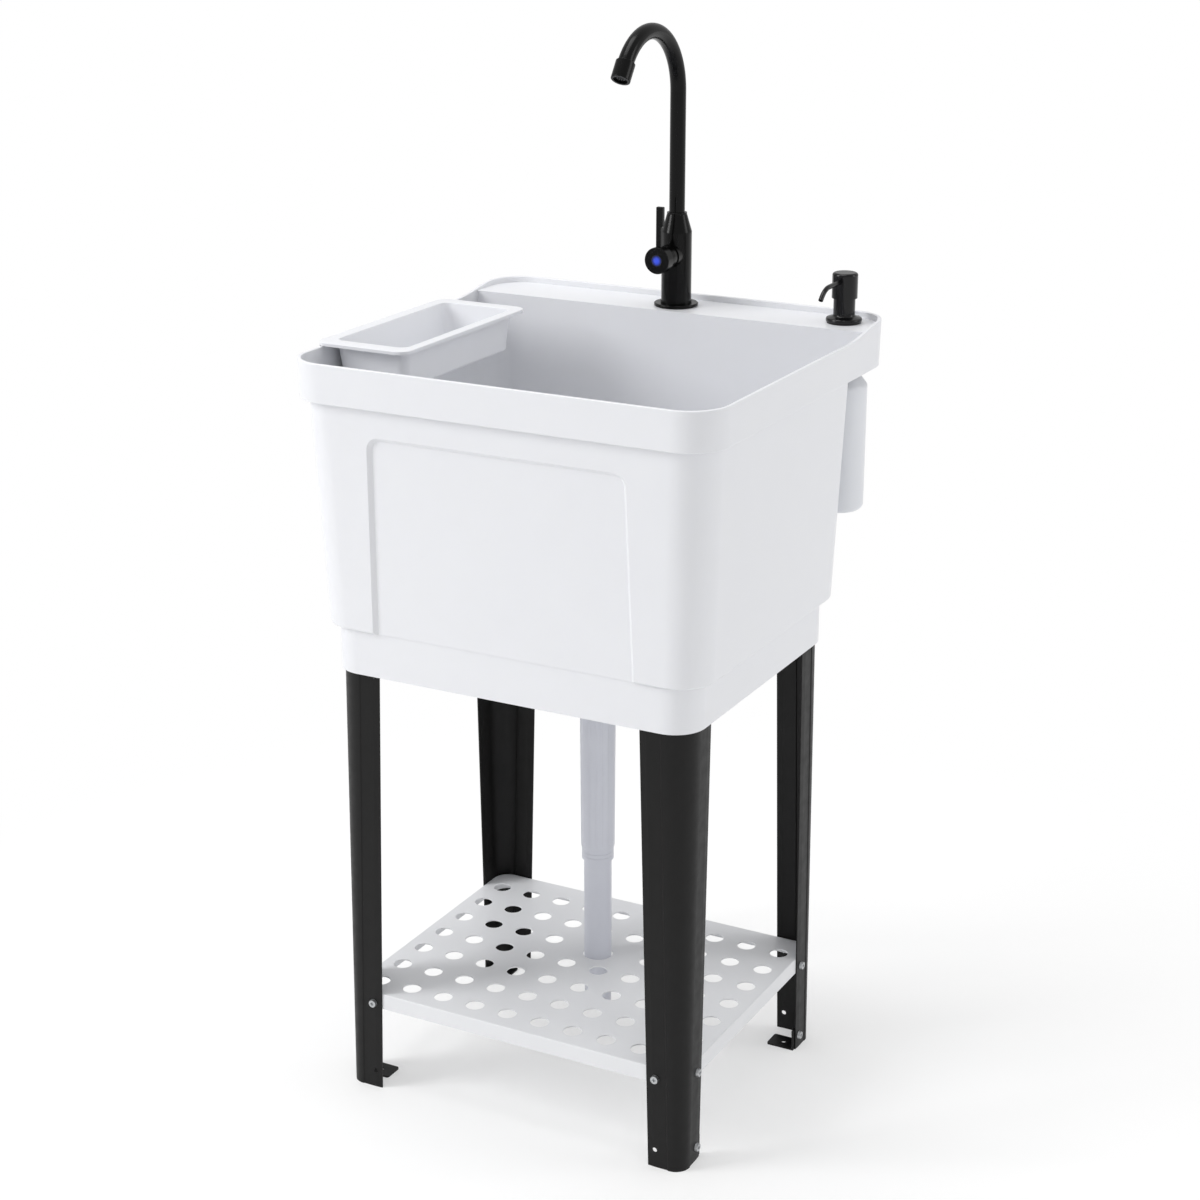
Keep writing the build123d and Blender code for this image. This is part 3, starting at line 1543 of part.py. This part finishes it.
with BuildPart() as drain_tailpiece:
    turned(
        0,
        drain_y,
        [
            (tailpiece_bore, spigot_bottom),
            (spigot_radius, spigot_bottom),
            (spigot_radius, spigot_bottom - tailpiece_flange_thickness),
            (tailpiece_radius, spigot_bottom - tailpiece_flange_thickness),
            (tailpiece_foot_radius, tailpiece_draft_bottom),
            (drain_collar_radius, taper_bottom),
            (outlet_radius, taper_bottom),
            (outlet_radius, taper_bottom + outlet_overlap),
            (tailpiece_foot_bore, tailpiece_draft_bottom + outlet_overlap),
        ],
    )

drain_tailpiece.part.label = "drain_tailpiece"
export_step(drain_tailpiece.part, "parts/drain_tailpiece.step")

with BuildPart() as drain_collar:
    turned(
        0,
        drain_y,
        [
            (outlet_radius, drain_collar_bottom),
            (drain_collar_radius, drain_collar_bottom),
            (drain_collar_radius, taper_bottom),
            (outlet_radius, taper_bottom),
        ],
    )
    for share in (0.35, 0.7):
        groove_level = drain_collar_bottom + share * drain_collar_height
        turned(
            0,
            drain_y,
            [
                (drain_collar_radius - collar_groove, groove_level),
                (drain_collar_radius + collar_groove, groove_level - collar_groove),
                (drain_collar_radius + collar_groove, groove_level + collar_groove),
            ],
            Mode.SUBTRACT,
        )

drain_collar.part.label = "drain_collar"
export_step(drain_collar.part, "parts/drain_collar.step")

with BuildPart() as drain_outlet:
    turned(
        0,
        drain_y,
        [
            (outlet_radius - outlet_wall, outlet_bottom),
            (outlet_tail_radius, outlet_bottom),
            (outlet_tail_radius, outlet_bottom + outlet_tail_length),
            (outlet_radius, outlet_bottom + outlet_tail_length),
            (outlet_radius, taper_bottom + outlet_overlap),
            (outlet_radius - outlet_wall, taper_bottom + outlet_overlap),
        ],
    )

drain_outlet.part.label = "drain_outlet"
export_step(drain_outlet.part, "parts/drain_outlet.step")
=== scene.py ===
from math import cos, pi, radians, sin

import bmesh
import bpy
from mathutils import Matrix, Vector


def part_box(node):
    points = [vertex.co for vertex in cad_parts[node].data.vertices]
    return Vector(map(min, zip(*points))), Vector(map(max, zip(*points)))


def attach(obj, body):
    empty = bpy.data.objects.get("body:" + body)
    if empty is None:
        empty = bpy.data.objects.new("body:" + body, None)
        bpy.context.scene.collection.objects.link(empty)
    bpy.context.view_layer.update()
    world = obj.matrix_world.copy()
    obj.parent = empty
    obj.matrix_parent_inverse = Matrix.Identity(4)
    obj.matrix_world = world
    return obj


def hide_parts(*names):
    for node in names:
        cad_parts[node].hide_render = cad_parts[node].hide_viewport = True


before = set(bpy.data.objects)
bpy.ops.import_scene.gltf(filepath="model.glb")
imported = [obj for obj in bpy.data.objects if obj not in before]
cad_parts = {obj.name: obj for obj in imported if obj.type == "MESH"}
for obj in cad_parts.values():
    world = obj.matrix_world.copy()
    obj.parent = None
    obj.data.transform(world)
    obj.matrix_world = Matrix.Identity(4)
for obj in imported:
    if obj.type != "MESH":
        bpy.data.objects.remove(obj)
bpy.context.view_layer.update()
mm = 0.001

# Studio: a camera at the photograph's place, a pale floor that runs out into white, and soft
# light from the front left with a weaker one from the right.
camera_place = Vector((1.1932, -2.2341, 1.4325))
camera_azimuth = radians(28.03)
camera_elevation = radians(18.89)
camera_sensor = 36.0
camera_lens = 71.23

camera = bpy.data.objects.new("camera", bpy.data.cameras.new("camera"))
camera.data.sensor_width = camera_sensor
camera.data.lens = camera_lens
camera.location = camera_place
camera.rotation_euler = (pi / 2 - camera_elevation, 0, camera_azimuth)
bpy.context.collection.objects.link(camera)
bpy.context.scene.camera = camera
bpy.context.scene.view_settings.view_transform = "Standard"


def linear(code):
    """Turns an sRGB hex colour into the linear values that Blender's sockets hold."""
    channels = [int(code[place:place + 2], 16) / 255 for place in (1, 3, 5)]
    return [c / 12.92 if c <= 0.04045 else ((c + 0.055) / 1.055) ** 2.4 for c in channels] + [1.0]


def add_node(tree, kind, inputs=None, **settings):
    """Adds a node with its settings. Each input takes a value or another node's output socket."""
    node = tree.nodes.new(kind)
    for name, value in settings.items():
        setattr(node, name, value)
    for socket, value in (inputs or {}).items():
        if isinstance(value, bpy.types.NodeSocket):
            tree.links.new(value, node.inputs[socket])
        else:
            node.inputs[socket].default_value = value
    return node


def mesh_piece(name, mesh, material, body):
    """Makes a piece from a bmesh, gives it its material and lets it ride on a body."""
    data = bpy.data.meshes.new(name)
    mesh.to_mesh(data)
    mesh.free()
    piece = bpy.data.objects.new(name, data)
    bpy.context.collection.objects.link(piece)
    piece.data.materials.append(material)
    if body:
        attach(piece, body)
    return piece


floor_half = 12.0
floor_white = "#FCFCFC"
floor_fade_start = 0.42
floor_fade_end = 1.1
floor_white_share = 0.4

floor_mesh = bmesh.new()
bmesh.ops.create_grid(floor_mesh, x_segments=2, y_segments=2, size=floor_half)
floor_material = bpy.data.materials.new("matt_white_floor_paper")
floor_material.use_nodes = True
tree = floor_material.node_tree
tree.nodes.clear()
place = add_node(tree, "ShaderNodeNewGeometry")
distance = add_node(tree, "ShaderNodeVectorMath", {0: place.outputs["Position"]}, operation="LENGTH")
fade = add_node(
    tree,
    "ShaderNodeMapRange",
    {"Value": distance.outputs["Value"], "From Min": floor_fade_start, "From Max": floor_fade_end,
     "To Min": floor_white_share},
    interpolation_type="SMOOTHSTEP",
)
path = add_node(tree, "ShaderNodeLightPath")
seen = add_node(
    tree,
    "ShaderNodeMath",
    {0: path.outputs["Is Camera Ray"], 1: path.outputs["Is Glossy Ray"]},
    operation="MAXIMUM",
)
seen_through = add_node(
    tree,
    "ShaderNodeMath",
    {0: seen.outputs[0], 1: path.outputs["Is Transmission Ray"]},
    operation="MAXIMUM",
)
white_share = add_node(
    tree, "ShaderNodeMath", {0: fade.outputs["Result"], 1: seen_through.outputs[0]}, operation="MULTIPLY"
)
paper = add_node(tree, "ShaderNodeBsdfDiffuse", {"Color": linear(floor_white)})
white = add_node(tree, "ShaderNodeEmission", {"Color": (1, 1, 1, 1), "Strength": 1.0})
floor_mix = add_node(
    tree,
    "ShaderNodeMixShader",
    {0: white_share.outputs[0], 1: paper.outputs[0], 2: white.outputs[0]},
)
add_node(tree, "ShaderNodeOutputMaterial", {"Surface": floor_mix.outputs[0]})
floor = mesh_piece("floor", floor_mesh, floor_material, None)

world = bpy.data.worlds.new("soft_white_room")
bpy.context.scene.world = world
world.use_nodes = True
tree = world.node_tree
tree.nodes.clear()
world_light = 0.65
path = add_node(tree, "ShaderNodeLightPath")
seen = add_node(
    tree,
    "ShaderNodeMath",
    {0: path.outputs["Is Camera Ray"], 1: path.outputs["Is Transmission Ray"]},
    operation="MAXIMUM",
)
level = add_node(
    tree, "ShaderNodeMapRange", {"Value": seen.outputs[0], "To Min": world_light, "To Max": 1.0}
)
sky = add_node(tree, "ShaderNodeBackground", {"Color": (1, 1, 1, 1), "Strength": level.outputs["Result"]})
add_node(tree, "ShaderNodeOutputWorld", {"Surface": sky.outputs[0]})

object_middle = Vector((0, 0, 0.6))
lamps = [
    # name, place, width, height, watts
    ("key_left", (-2.9, -2.5, 3.0), 1.4, 2.2, 93),
    ("fill_right", (3.4, 1.4, 2.0), 1.2, 2.4, 25),
    ("top", (-0.4, 0.0, 3.6), 1.6, 1.6, 30),
]
for name, where, width, height, watts in lamps:
    lamp = bpy.data.lights.new(name, "AREA")
    lamp.shape = "RECTANGLE"
    lamp.size = width
    lamp.size_y = height
    lamp.energy = watts
    lamp_object = bpy.data.objects.new(name, lamp)
    lamp_object.location = where
    lamp_object.rotation_euler = (object_middle - Vector(where)).to_track_quat("-Z", "Y").to_euler()
    bpy.context.collection.objects.link(lamp_object)


# Tub: one deep injection moulding in white polypropylene that the four legs carry, with a faint
# orange-peel texture from the mould that softens its highlights. The tray that hooks on its left
# rim is the same plastic.
def noise(tree, place, size, detail):
    """Noise with features of a size in millimetres, as a value from 0 to 1."""
    settings = {"Vector": place, "Scale": 1 / (size * mm), "Detail": detail}
    return add_node(tree, "ShaderNodeTexNoise", settings).outputs["Fac"]


def grained_material(
    name, colours, tone_size, roughness, rough_size, grain_size, grain_height, ior=1.5, metallic=0.0
):
    """A material with slow colour drift, uneven gloss and a fine surface grain, all from noise
    whose sizes are in millimetres. Returns the material, its tree and its principled shader."""
    material = bpy.data.materials.new(name)
    material.use_nodes = True
    tree = material.node_tree
    shader = tree.nodes["Principled BSDF"]
    noise_low = 0.3
    noise_high = 0.7
    shader.inputs["Base Color"].default_value = linear(colours[0])
    shader.inputs["Roughness"].default_value = sum(roughness) / 2
    shader.inputs["Metallic"].default_value = metallic
    if not metallic:
        shader.inputs["IOR"].default_value = ior
    place = add_node(tree, "ShaderNodeTexCoord").outputs["Object"]
    tone = noise(tree, place, tone_size, 3.0)
    drift = add_node(
        tree,
        "ShaderNodeMix",
        {"Factor": tone, "A": linear(colours[0]), "B": linear(colours[1])},
        data_type="RGBA",
    )
    tree.links.new(drift.outputs["Result"], shader.inputs["Base Color"])
    gloss = noise(tree, place, rough_size, 4.0)
    gloss_range = add_node(
        tree,
        "ShaderNodeMapRange",
        {"Value": gloss, "From Min": noise_low, "From Max": noise_high,
         "To Min": roughness[0], "To Max": roughness[1]},
    )
    tree.links.new(gloss_range.outputs["Result"], shader.inputs["Roughness"])
    grain = noise(tree, place, grain_size, 2.0)
    bump = add_node(
        tree,
        "ShaderNodeBump",
        {"Height": grain, "Strength": 1.0, "Distance": grain_height * mm},
    )
    tree.links.new(bump.outputs["Normal"], shader.inputs["Normal"])
    return material, tree, shader


def dress(material, *names):
    """Gives a material to every slot of the named CAD nodes."""
    for name in names:
        for material_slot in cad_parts[name].material_slots:
            material_slot.material = material


def soften(name, width):
    """Rounds a CAD node's sharp edges by a width in millimetres."""
    weld_distance = 0.01
    sharp_angle = 30
    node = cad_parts[name]
    weld = node.modifiers.new("weld", "WELD")
    weld.merge_threshold = weld_distance * mm
    bevel = node.modifiers.new("bevel", "BEVEL")
    bevel.width = width * mm
    bevel.segments = 3
    bevel.limit_method = "ANGLE"
    bevel.angle_limit = radians(sharp_angle)
    normals = node.modifiers.new("normals", "WEIGHTED_NORMAL")
    normals.weight = 60


tub_whites = ("#E4E5E8", "#E1E2E6")

# Real orange peel is about 1 mm across and a few microns high; here it is drawn 2.5 mm across
# so that it shows.
polypropylene, tree, shader = grained_material(
    "moulded_white_polypropylene",
    tub_whites,
    tone_size=140,
    roughness=(0.285, 0.35),
    rough_size=30,
    grain_size=2.5,
    grain_height=0.003,
    ior=1.49,
)
shader.inputs["Subsurface Weight"].default_value = 0.05
shader.inputs["Subsurface Radius"].default_value = (4 * mm, 4 * mm, 5 * mm)
dress(polypropylene, "tub", "hanging_tray")
tub_edge_width = 1.4
tray_edge_width = 0.8
soften("tub", tub_edge_width)
soften("hanging_tray", tray_edge_width)


# Legs and foot brackets: pressed and rolled sheet steel with a black powder coat. Each leg is
# screwed up into the tub and its bracket is bolted on at the foot. The coat is fine grained and
# half matt, so that a leg's round corner carries one broad soft highlight.
coat_blacks = ("#0F0F0F", "#121111")

powder_coat, tree, shader = grained_material(
    "black_powder_coated_steel",
    coat_blacks,
    tone_size=60,
    roughness=(0.40, 0.50),
    rough_size=12,
    grain_size=1.2,
    grain_height=0.008,
)
shader.inputs["Specular IOR Level"].default_value = 0.25
for corner in ("front_left", "front_right", "rear_left", "rear_right"):
    dress(powder_coat, "leg_" + corner, "foot_bracket_" + corner)


# Screws, bolts and nuts: zinc-plated steel, bright with a faint haze from the plating barrel.
zinc_greys = ("#C4C6C8", "#B2B4B6")

zinc_steel, tree, shader = grained_material(
    "zinc_plated_steel",
    zinc_greys,
    tone_size=4,
    roughness=(0.29, 0.40),
    rough_size=2,
    grain_size=0.6,
    grain_height=0.01,
    metallic=1.0,
)
dress(zinc_steel, "leg_screws", "foot_bolts", "foot_nuts", "shelf_screws", "shelf_nuts")


# Shelf: punched sheet steel with a folded apron under a smooth white coat, screwed to the legs.
shelf_whites = ("#E3E4E6", "#DFE0E3")

white_coat, tree, shader = grained_material(
    "white_coated_steel",
    shelf_whites,
    tone_size=90,
    roughness=(0.32, 0.44),
    rough_size=20,
    grain_size=1.8,
    grain_height=0.012,
)
dress(white_coat, "shelf")


# Faucet: turned brass under a satin black coat. A nylon nut clamps it to the deck from below,
# between rubber rings, and its threaded inlet hangs under the deck.
faucet_blacks = ("#030303", "#050505")

black_coat, tree, shader = grained_material(
    "satin_black_coated_brass",
    faucet_blacks,
    tone_size=40,
    roughness=(0.19, 0.23),
    rough_size=25,
    grain_size=0.8,
    grain_height=0.0006,
)
shader.inputs["Specular IOR Level"].default_value = 0.18
dress(black_coat, "faucet_flange", "faucet_body", "spout", "aerator", "handle_hub", "handle_lever")

rubber_blacks = ("#141414", "#1B1B1B")

rubber, tree, shader = grained_material(
    "black_nitrile_rubber",
    rubber_blacks,
    tone_size=10,
    roughness=(0.6, 0.8),
    rough_size=4,
    grain_size=0.8,
    grain_height=0.03,
)
dress(rubber, "faucet_gasket", "faucet_washer", "spout_seals", "dispenser_gasket", "drain_gasket")

brass_tones = ("#C9A765", "#B8944F")

brass, tree, shader = grained_material(
    "turned_brass",
    brass_tones,
    tone_size=12,
    roughness=(0.29, 0.40),
    rough_size=3,
    grain_size=0.7,
    grain_height=0.01,
    metallic=1.0,
)
dress(brass, "faucet_shank", "cartridge")


def smooth_mesh_piece(name, mesh, material, sharp_angle):
    """A mesh piece on the stand, shaded smooth but for edges over an angle in degrees."""
    piece = mesh_piece(name, mesh, material, "basin_and_stand")
    piece.data.polygons.foreach_set("use_smooth", [True] * len(piece.data.polygons))
    piece.data.set_sharp_from_angle(angle=radians(sharp_angle))
    return piece


def thread_mesh(centre, radius, low, high, pitch, depth):
    """A round-topped thread wound up an upright cylinder between two heights in millimetres."""
    steps_a_turn = 48
    run_in_steps = 12
    root_sink = 0.1
    least_height = 0.01
    steps = int(steps_a_turn * (high - low - pitch) / pitch)
    flank = depth * 0.8
    section = [(-root_sink, -0.42), (flank, -0.16), (depth, 0.0), (flank, 0.16), (-root_sink, 0.42)]
    mesh = bmesh.new()
    loops = []
    for step in range(steps + 1):
        angle = 2 * pi * step / steps_a_turn
        run_in = min(1.0, step / run_in_steps, (steps - step) / run_in_steps)
        middle = low + pitch / 2 + pitch * step / steps_a_turn
        loop = []
        for out, along in section:
            reach = (radius + (out if out < 0 else max(least_height, out * run_in))) * mm
            level = (middle + along * pitch) * mm
            loop.append(mesh.verts.new(
                (centre[0] + reach * cos(angle), centre[1] + reach * sin(angle), level)
            ))
        loops.append(loop)
    for before, after in zip(loops, loops[1:]):
        for side in range(len(section)):
            other = (side + 1) % len(section)
            mesh.faces.new((before[side], before[other], after[other], after[side]))
    mesh.faces.new(loops[0])
    mesh.faces.new(list(reversed(loops[-1])))
    bmesh.ops.recalc_face_normals(mesh, faces=mesh.faces)
    return mesh


# Half inch thread on the faucet's inlet, below its nut.
shank_low, shank_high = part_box("faucet_shank")
shank_centre = ((shank_low[0] + shank_high[0]) / 2, (shank_low[1] + shank_high[1]) / 2)
shank_tail_radius = 10.1
shank_thread_start = 1.0
shank_thread_end = 29.5
shank_bottom = shank_low[2] / mm
smooth_mesh_piece(
    "faucet_inlet_thread",
    thread_mesh(
        shank_centre,
        shank_tail_radius,
        low=shank_bottom + shank_thread_start,
        high=shank_bottom + shank_thread_end,
        pitch=1.8,
        depth=0.6,
    ),
    brass,
    sharp_angle=60,
)

nut_blacks = ("#1A1A1B", "#202021")

nut_nylon, tree, shader = grained_material(
    "moulded_black_nylon",
    nut_blacks,
    tone_size=20,
    roughness=(0.42, 0.58),
    rough_size=6,
    grain_size=1.0,
    grain_height=0.02,
    ior=1.53,
)
dress(nut_nylon, "faucet_nut", "dispenser_nut")

# The disc's blue at its middle, where a glow is painted, and at its rim, where shade is painted.
index_glow_and_shade_blues = ("#3A57F0", "#05081E")
index_glow_share = 0.25
index_low, index_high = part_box("handle_index")
index_middle = (Vector(index_low) + Vector(index_high)) / 2
index_radius = (index_high[0] - index_low[0]) / 2

# The blue is painted brightest at the disc's middle as a painted glow, and sinks to near black at its rim
# as painted shade, where the clear cover over the print curves down.
index_acrylic, tree, shader = grained_material(
    "clear_acrylic_over_blue",
    index_glow_and_shade_blues,
    tone_size=4,
    roughness=(0.10, 0.18),
    rough_size=3,
    grain_size=1.0,
    grain_height=0.002,
    ior=1.49,
)
place = add_node(tree, "ShaderNodeTexCoord")
from_middle = add_node(
    tree,
    "ShaderNodeVectorMath",
    {0: place.outputs["Object"], 1: tuple(index_middle)},
    operation="DISTANCE",
)
rim_shade = add_node(
    tree,
    "ShaderNodeMapRange",
    {"Value": from_middle.outputs["Value"], "From Min": index_glow_share * index_radius,
     "From Max": index_radius},
    interpolation_type="SMOOTHSTEP",
)
# Painted glow at the middle fading to painted shade at the rim.
blue_glow_to_shade = add_node(
    tree,
    "ShaderNodeMix",
    {"Factor": rim_shade.outputs["Result"], "A": linear(index_glow_and_shade_blues[0]), "B": linear(index_glow_and_shade_blues[1])},
    data_type="RGBA",
)
tree.links.new(blue_glow_to_shade.outputs["Result"], shader.inputs["Base Color"])
dress(index_acrylic, "handle_index")


# Soap dispenser: gloss black plastic above the deck, where a nut holds it, and a moulded pump in a
# blown white bottle that screws on below.
abs_blacks = ("#060607", "#09090A")

black_abs, tree, shader = grained_material(
    "moulded_black_abs",
    abs_blacks,
    tone_size=30,
    roughness=(0.14, 0.18),
    rough_size=20,
    grain_size=1.2,
    grain_height=0.001,
    ior=1.54,
)
shader.inputs["Specular IOR Level"].default_value = 0.3
dress(black_abs, "dispenser_collar", "pump_head", "pump_nozzle")

bottle_whites = ("#DFE1E5", "#D8DADF")

polyethylene, tree, shader = grained_material(
    "blown_white_polyethylene",
    bottle_whites,
    tone_size=50,
    roughness=(0.28, 0.40),
    rough_size=15,
    grain_size=2.0,
    grain_height=0.02,
    ior=1.52,
)
shader.inputs["Subsurface Weight"].default_value = 0.15
shader.inputs["Subsurface Radius"].default_value = (6 * mm, 6 * mm, 7 * mm)
dress(polyethylene, "dispenser_bottle", "pump_housing", "dip_tube", "pump_stem")

spring_greys = ("#B9BBBD", "#9A9C9E")

spring_steel, tree, shader = grained_material(
    "drawn_spring_steel",
    spring_greys,
    tone_size=3,
    roughness=(0.18, 0.26),
    rough_size=1.5,
    grain_size=0.5,
    grain_height=0.005,
    metallic=1.0,
)
dress(spring_steel, "pump_spring")


# Drain: pale grey moulded pipes and nuts, clamped through the basin's floor and pushed into one
# another, with a pressed stainless strainer that lifts out.
pipe_greys = ("#DCDEE6", "#D3D5DF")

pipe_plastic, tree, shader = grained_material(
    "moulded_pale_grey_polypropylene",
    pipe_greys,
    tone_size=60,
    roughness=(0.30, 0.40),
    rough_size=15,
    grain_size=1.6,
    grain_height=0.006,
    ior=1.49,
)
dress(
    pipe_plastic,
    "drain_body",
    "drain_locknut",
    "slip_nut",
    "drain_tailpiece",
    "drain_collar",
    "drain_outlet",
)


def ring_mesh(centre, rings, steps, depth_at):
    """Skins a closed row of rings of (radius, height, grooved) about an upright axis, in
    millimetres. depth_at(angle) says how deep a grooved ring is sunk."""
    mesh = bmesh.new()
    loops = []
    for radius, height, grooved in rings:
        loop = []
        for step in range(steps):
            angle = 2 * pi * step / steps
            reach = (radius - (depth_at(angle) if grooved else 0)) * mm
            loop.append(mesh.verts.new(
                (centre[0] + reach * cos(angle), centre[1] + reach * sin(angle), height * mm)
            ))
        loops.append(loop)
    for upper, lower in zip(loops, loops[1:] + loops[:1]):
        for step in range(steps):
            after = (step + 1) % steps
            mesh.faces.new((upper[step], upper[after], lower[after], lower[step]))
    bmesh.ops.recalc_face_normals(mesh, faces=mesh.faces)
    return mesh


# Upper pipe: drawn in a little towards its foot, with sixteen fine grooves down its outside.
pipe_low, pipe_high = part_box("drain_tailpiece")
pipe_centre = ((pipe_low[0] + pipe_high[0]) / 2, (pipe_low[1] + pipe_high[1]) / 2)
pipe_radius = 20.8
pipe_foot_radius = 19.5
pipe_bore = 18.8
pipe_foot_bore = 17.5
pipe_flange_radius = 22.0
pipe_flange_thickness = 3.0
pipe_flange_edge = 0.3
pipe_collar_radius = 18.6
pipe_socket_radius = 16.25
pipe_socket_depth = 6
pipe_top = pipe_high[2] / mm
pipe_flange_bottom = pipe_top - pipe_flange_thickness
pipe_bottom = pipe_low[2] / mm
plain_head_length = 22
plain_foot_length = 7.5
groove_top = pipe_flange_bottom - plain_head_length
groove_bottom = pipe_bottom + plain_foot_length
groove_run_out = 1.5
groove_count = 16
groove_depth = 0.45
groove_width_share = 0.28
groove_half_angle = pi / groove_count * groove_width_share
steps_a_groove = 14


def pipe_groove(angle):
    """How deep the upper pipe's outside is sunk at an angle round it."""
    turn = 2 * pi / groove_count
    off_line = abs((angle + turn / 2) % turn - turn / 2)
    return groove_depth * max(0.0, 1 - off_line / groove_half_angle) ** 0.7


pipe_rings = [
    # radius, height, grooved
    (pipe_bore, pipe_top, False),
    (pipe_flange_radius - pipe_flange_edge, pipe_top, False),
    (pipe_flange_radius, pipe_top - pipe_flange_edge, False),
    (pipe_flange_radius, pipe_flange_bottom, False),
    (pipe_radius, pipe_flange_bottom, False),
    (pipe_radius, groove_top, False),
    (pipe_radius - 0.02, groove_top - groove_run_out, True),
    (pipe_foot_radius + 0.15, groove_bottom, True),
    (pipe_foot_radius + 0.1, groove_bottom - groove_run_out, False),
    (pipe_foot_radius, pipe_bottom + 3, False),
    (pipe_foot_radius - 0.2, pipe_bottom + 1.6, False),
    (pipe_collar_radius + 0.3, pipe_bottom + 0.4, False),
    (pipe_collar_radius, pipe_bottom, False),
    (pipe_socket_radius, pipe_bottom, False),
    (pipe_socket_radius, pipe_bottom + pipe_socket_depth, False),
    (pipe_foot_bore, pipe_bottom + pipe_socket_depth + 2, False),
]
pipe = smooth_mesh_piece(
    "drain_pipe_grooved",
    ring_mesh(pipe_centre, pipe_rings, groove_count * steps_a_groove, pipe_groove),
    pipe_plastic,
    sharp_angle=50,
)
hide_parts("drain_tailpiece")

# Thread on the strainer body's spigot, which shows between the cup and the slip nut.
body_low, body_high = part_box("drain_body")
nut_low, nut_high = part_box("slip_nut")
spigot_radius = 22.0
cup_depth = 27.0
cup_gap = 1.5
nut_gap = 0.5
smooth_mesh_piece(
    "drain_spigot_thread",
    thread_mesh(
        pipe_centre,
        spigot_radius,
        low=nut_high[2] / mm + nut_gap,
        high=body_high[2] / mm - cup_depth - cup_gap,
        pitch=3.2,
        depth=1.1,
    ),
    pipe_plastic,
    sharp_angle=60,
)

stainless_tones = ("#C8CACC", "#BABCBF")

stainless, tree, shader = grained_material(
    "pressed_stainless_steel",
    stainless_tones,
    tone_size=10,
    roughness=(0.18, 0.26),
    rough_size=3,
    grain_size=0.6,
    grain_height=0.006,
    metallic=1.0,
)
dress(stainless, "drain_basket")
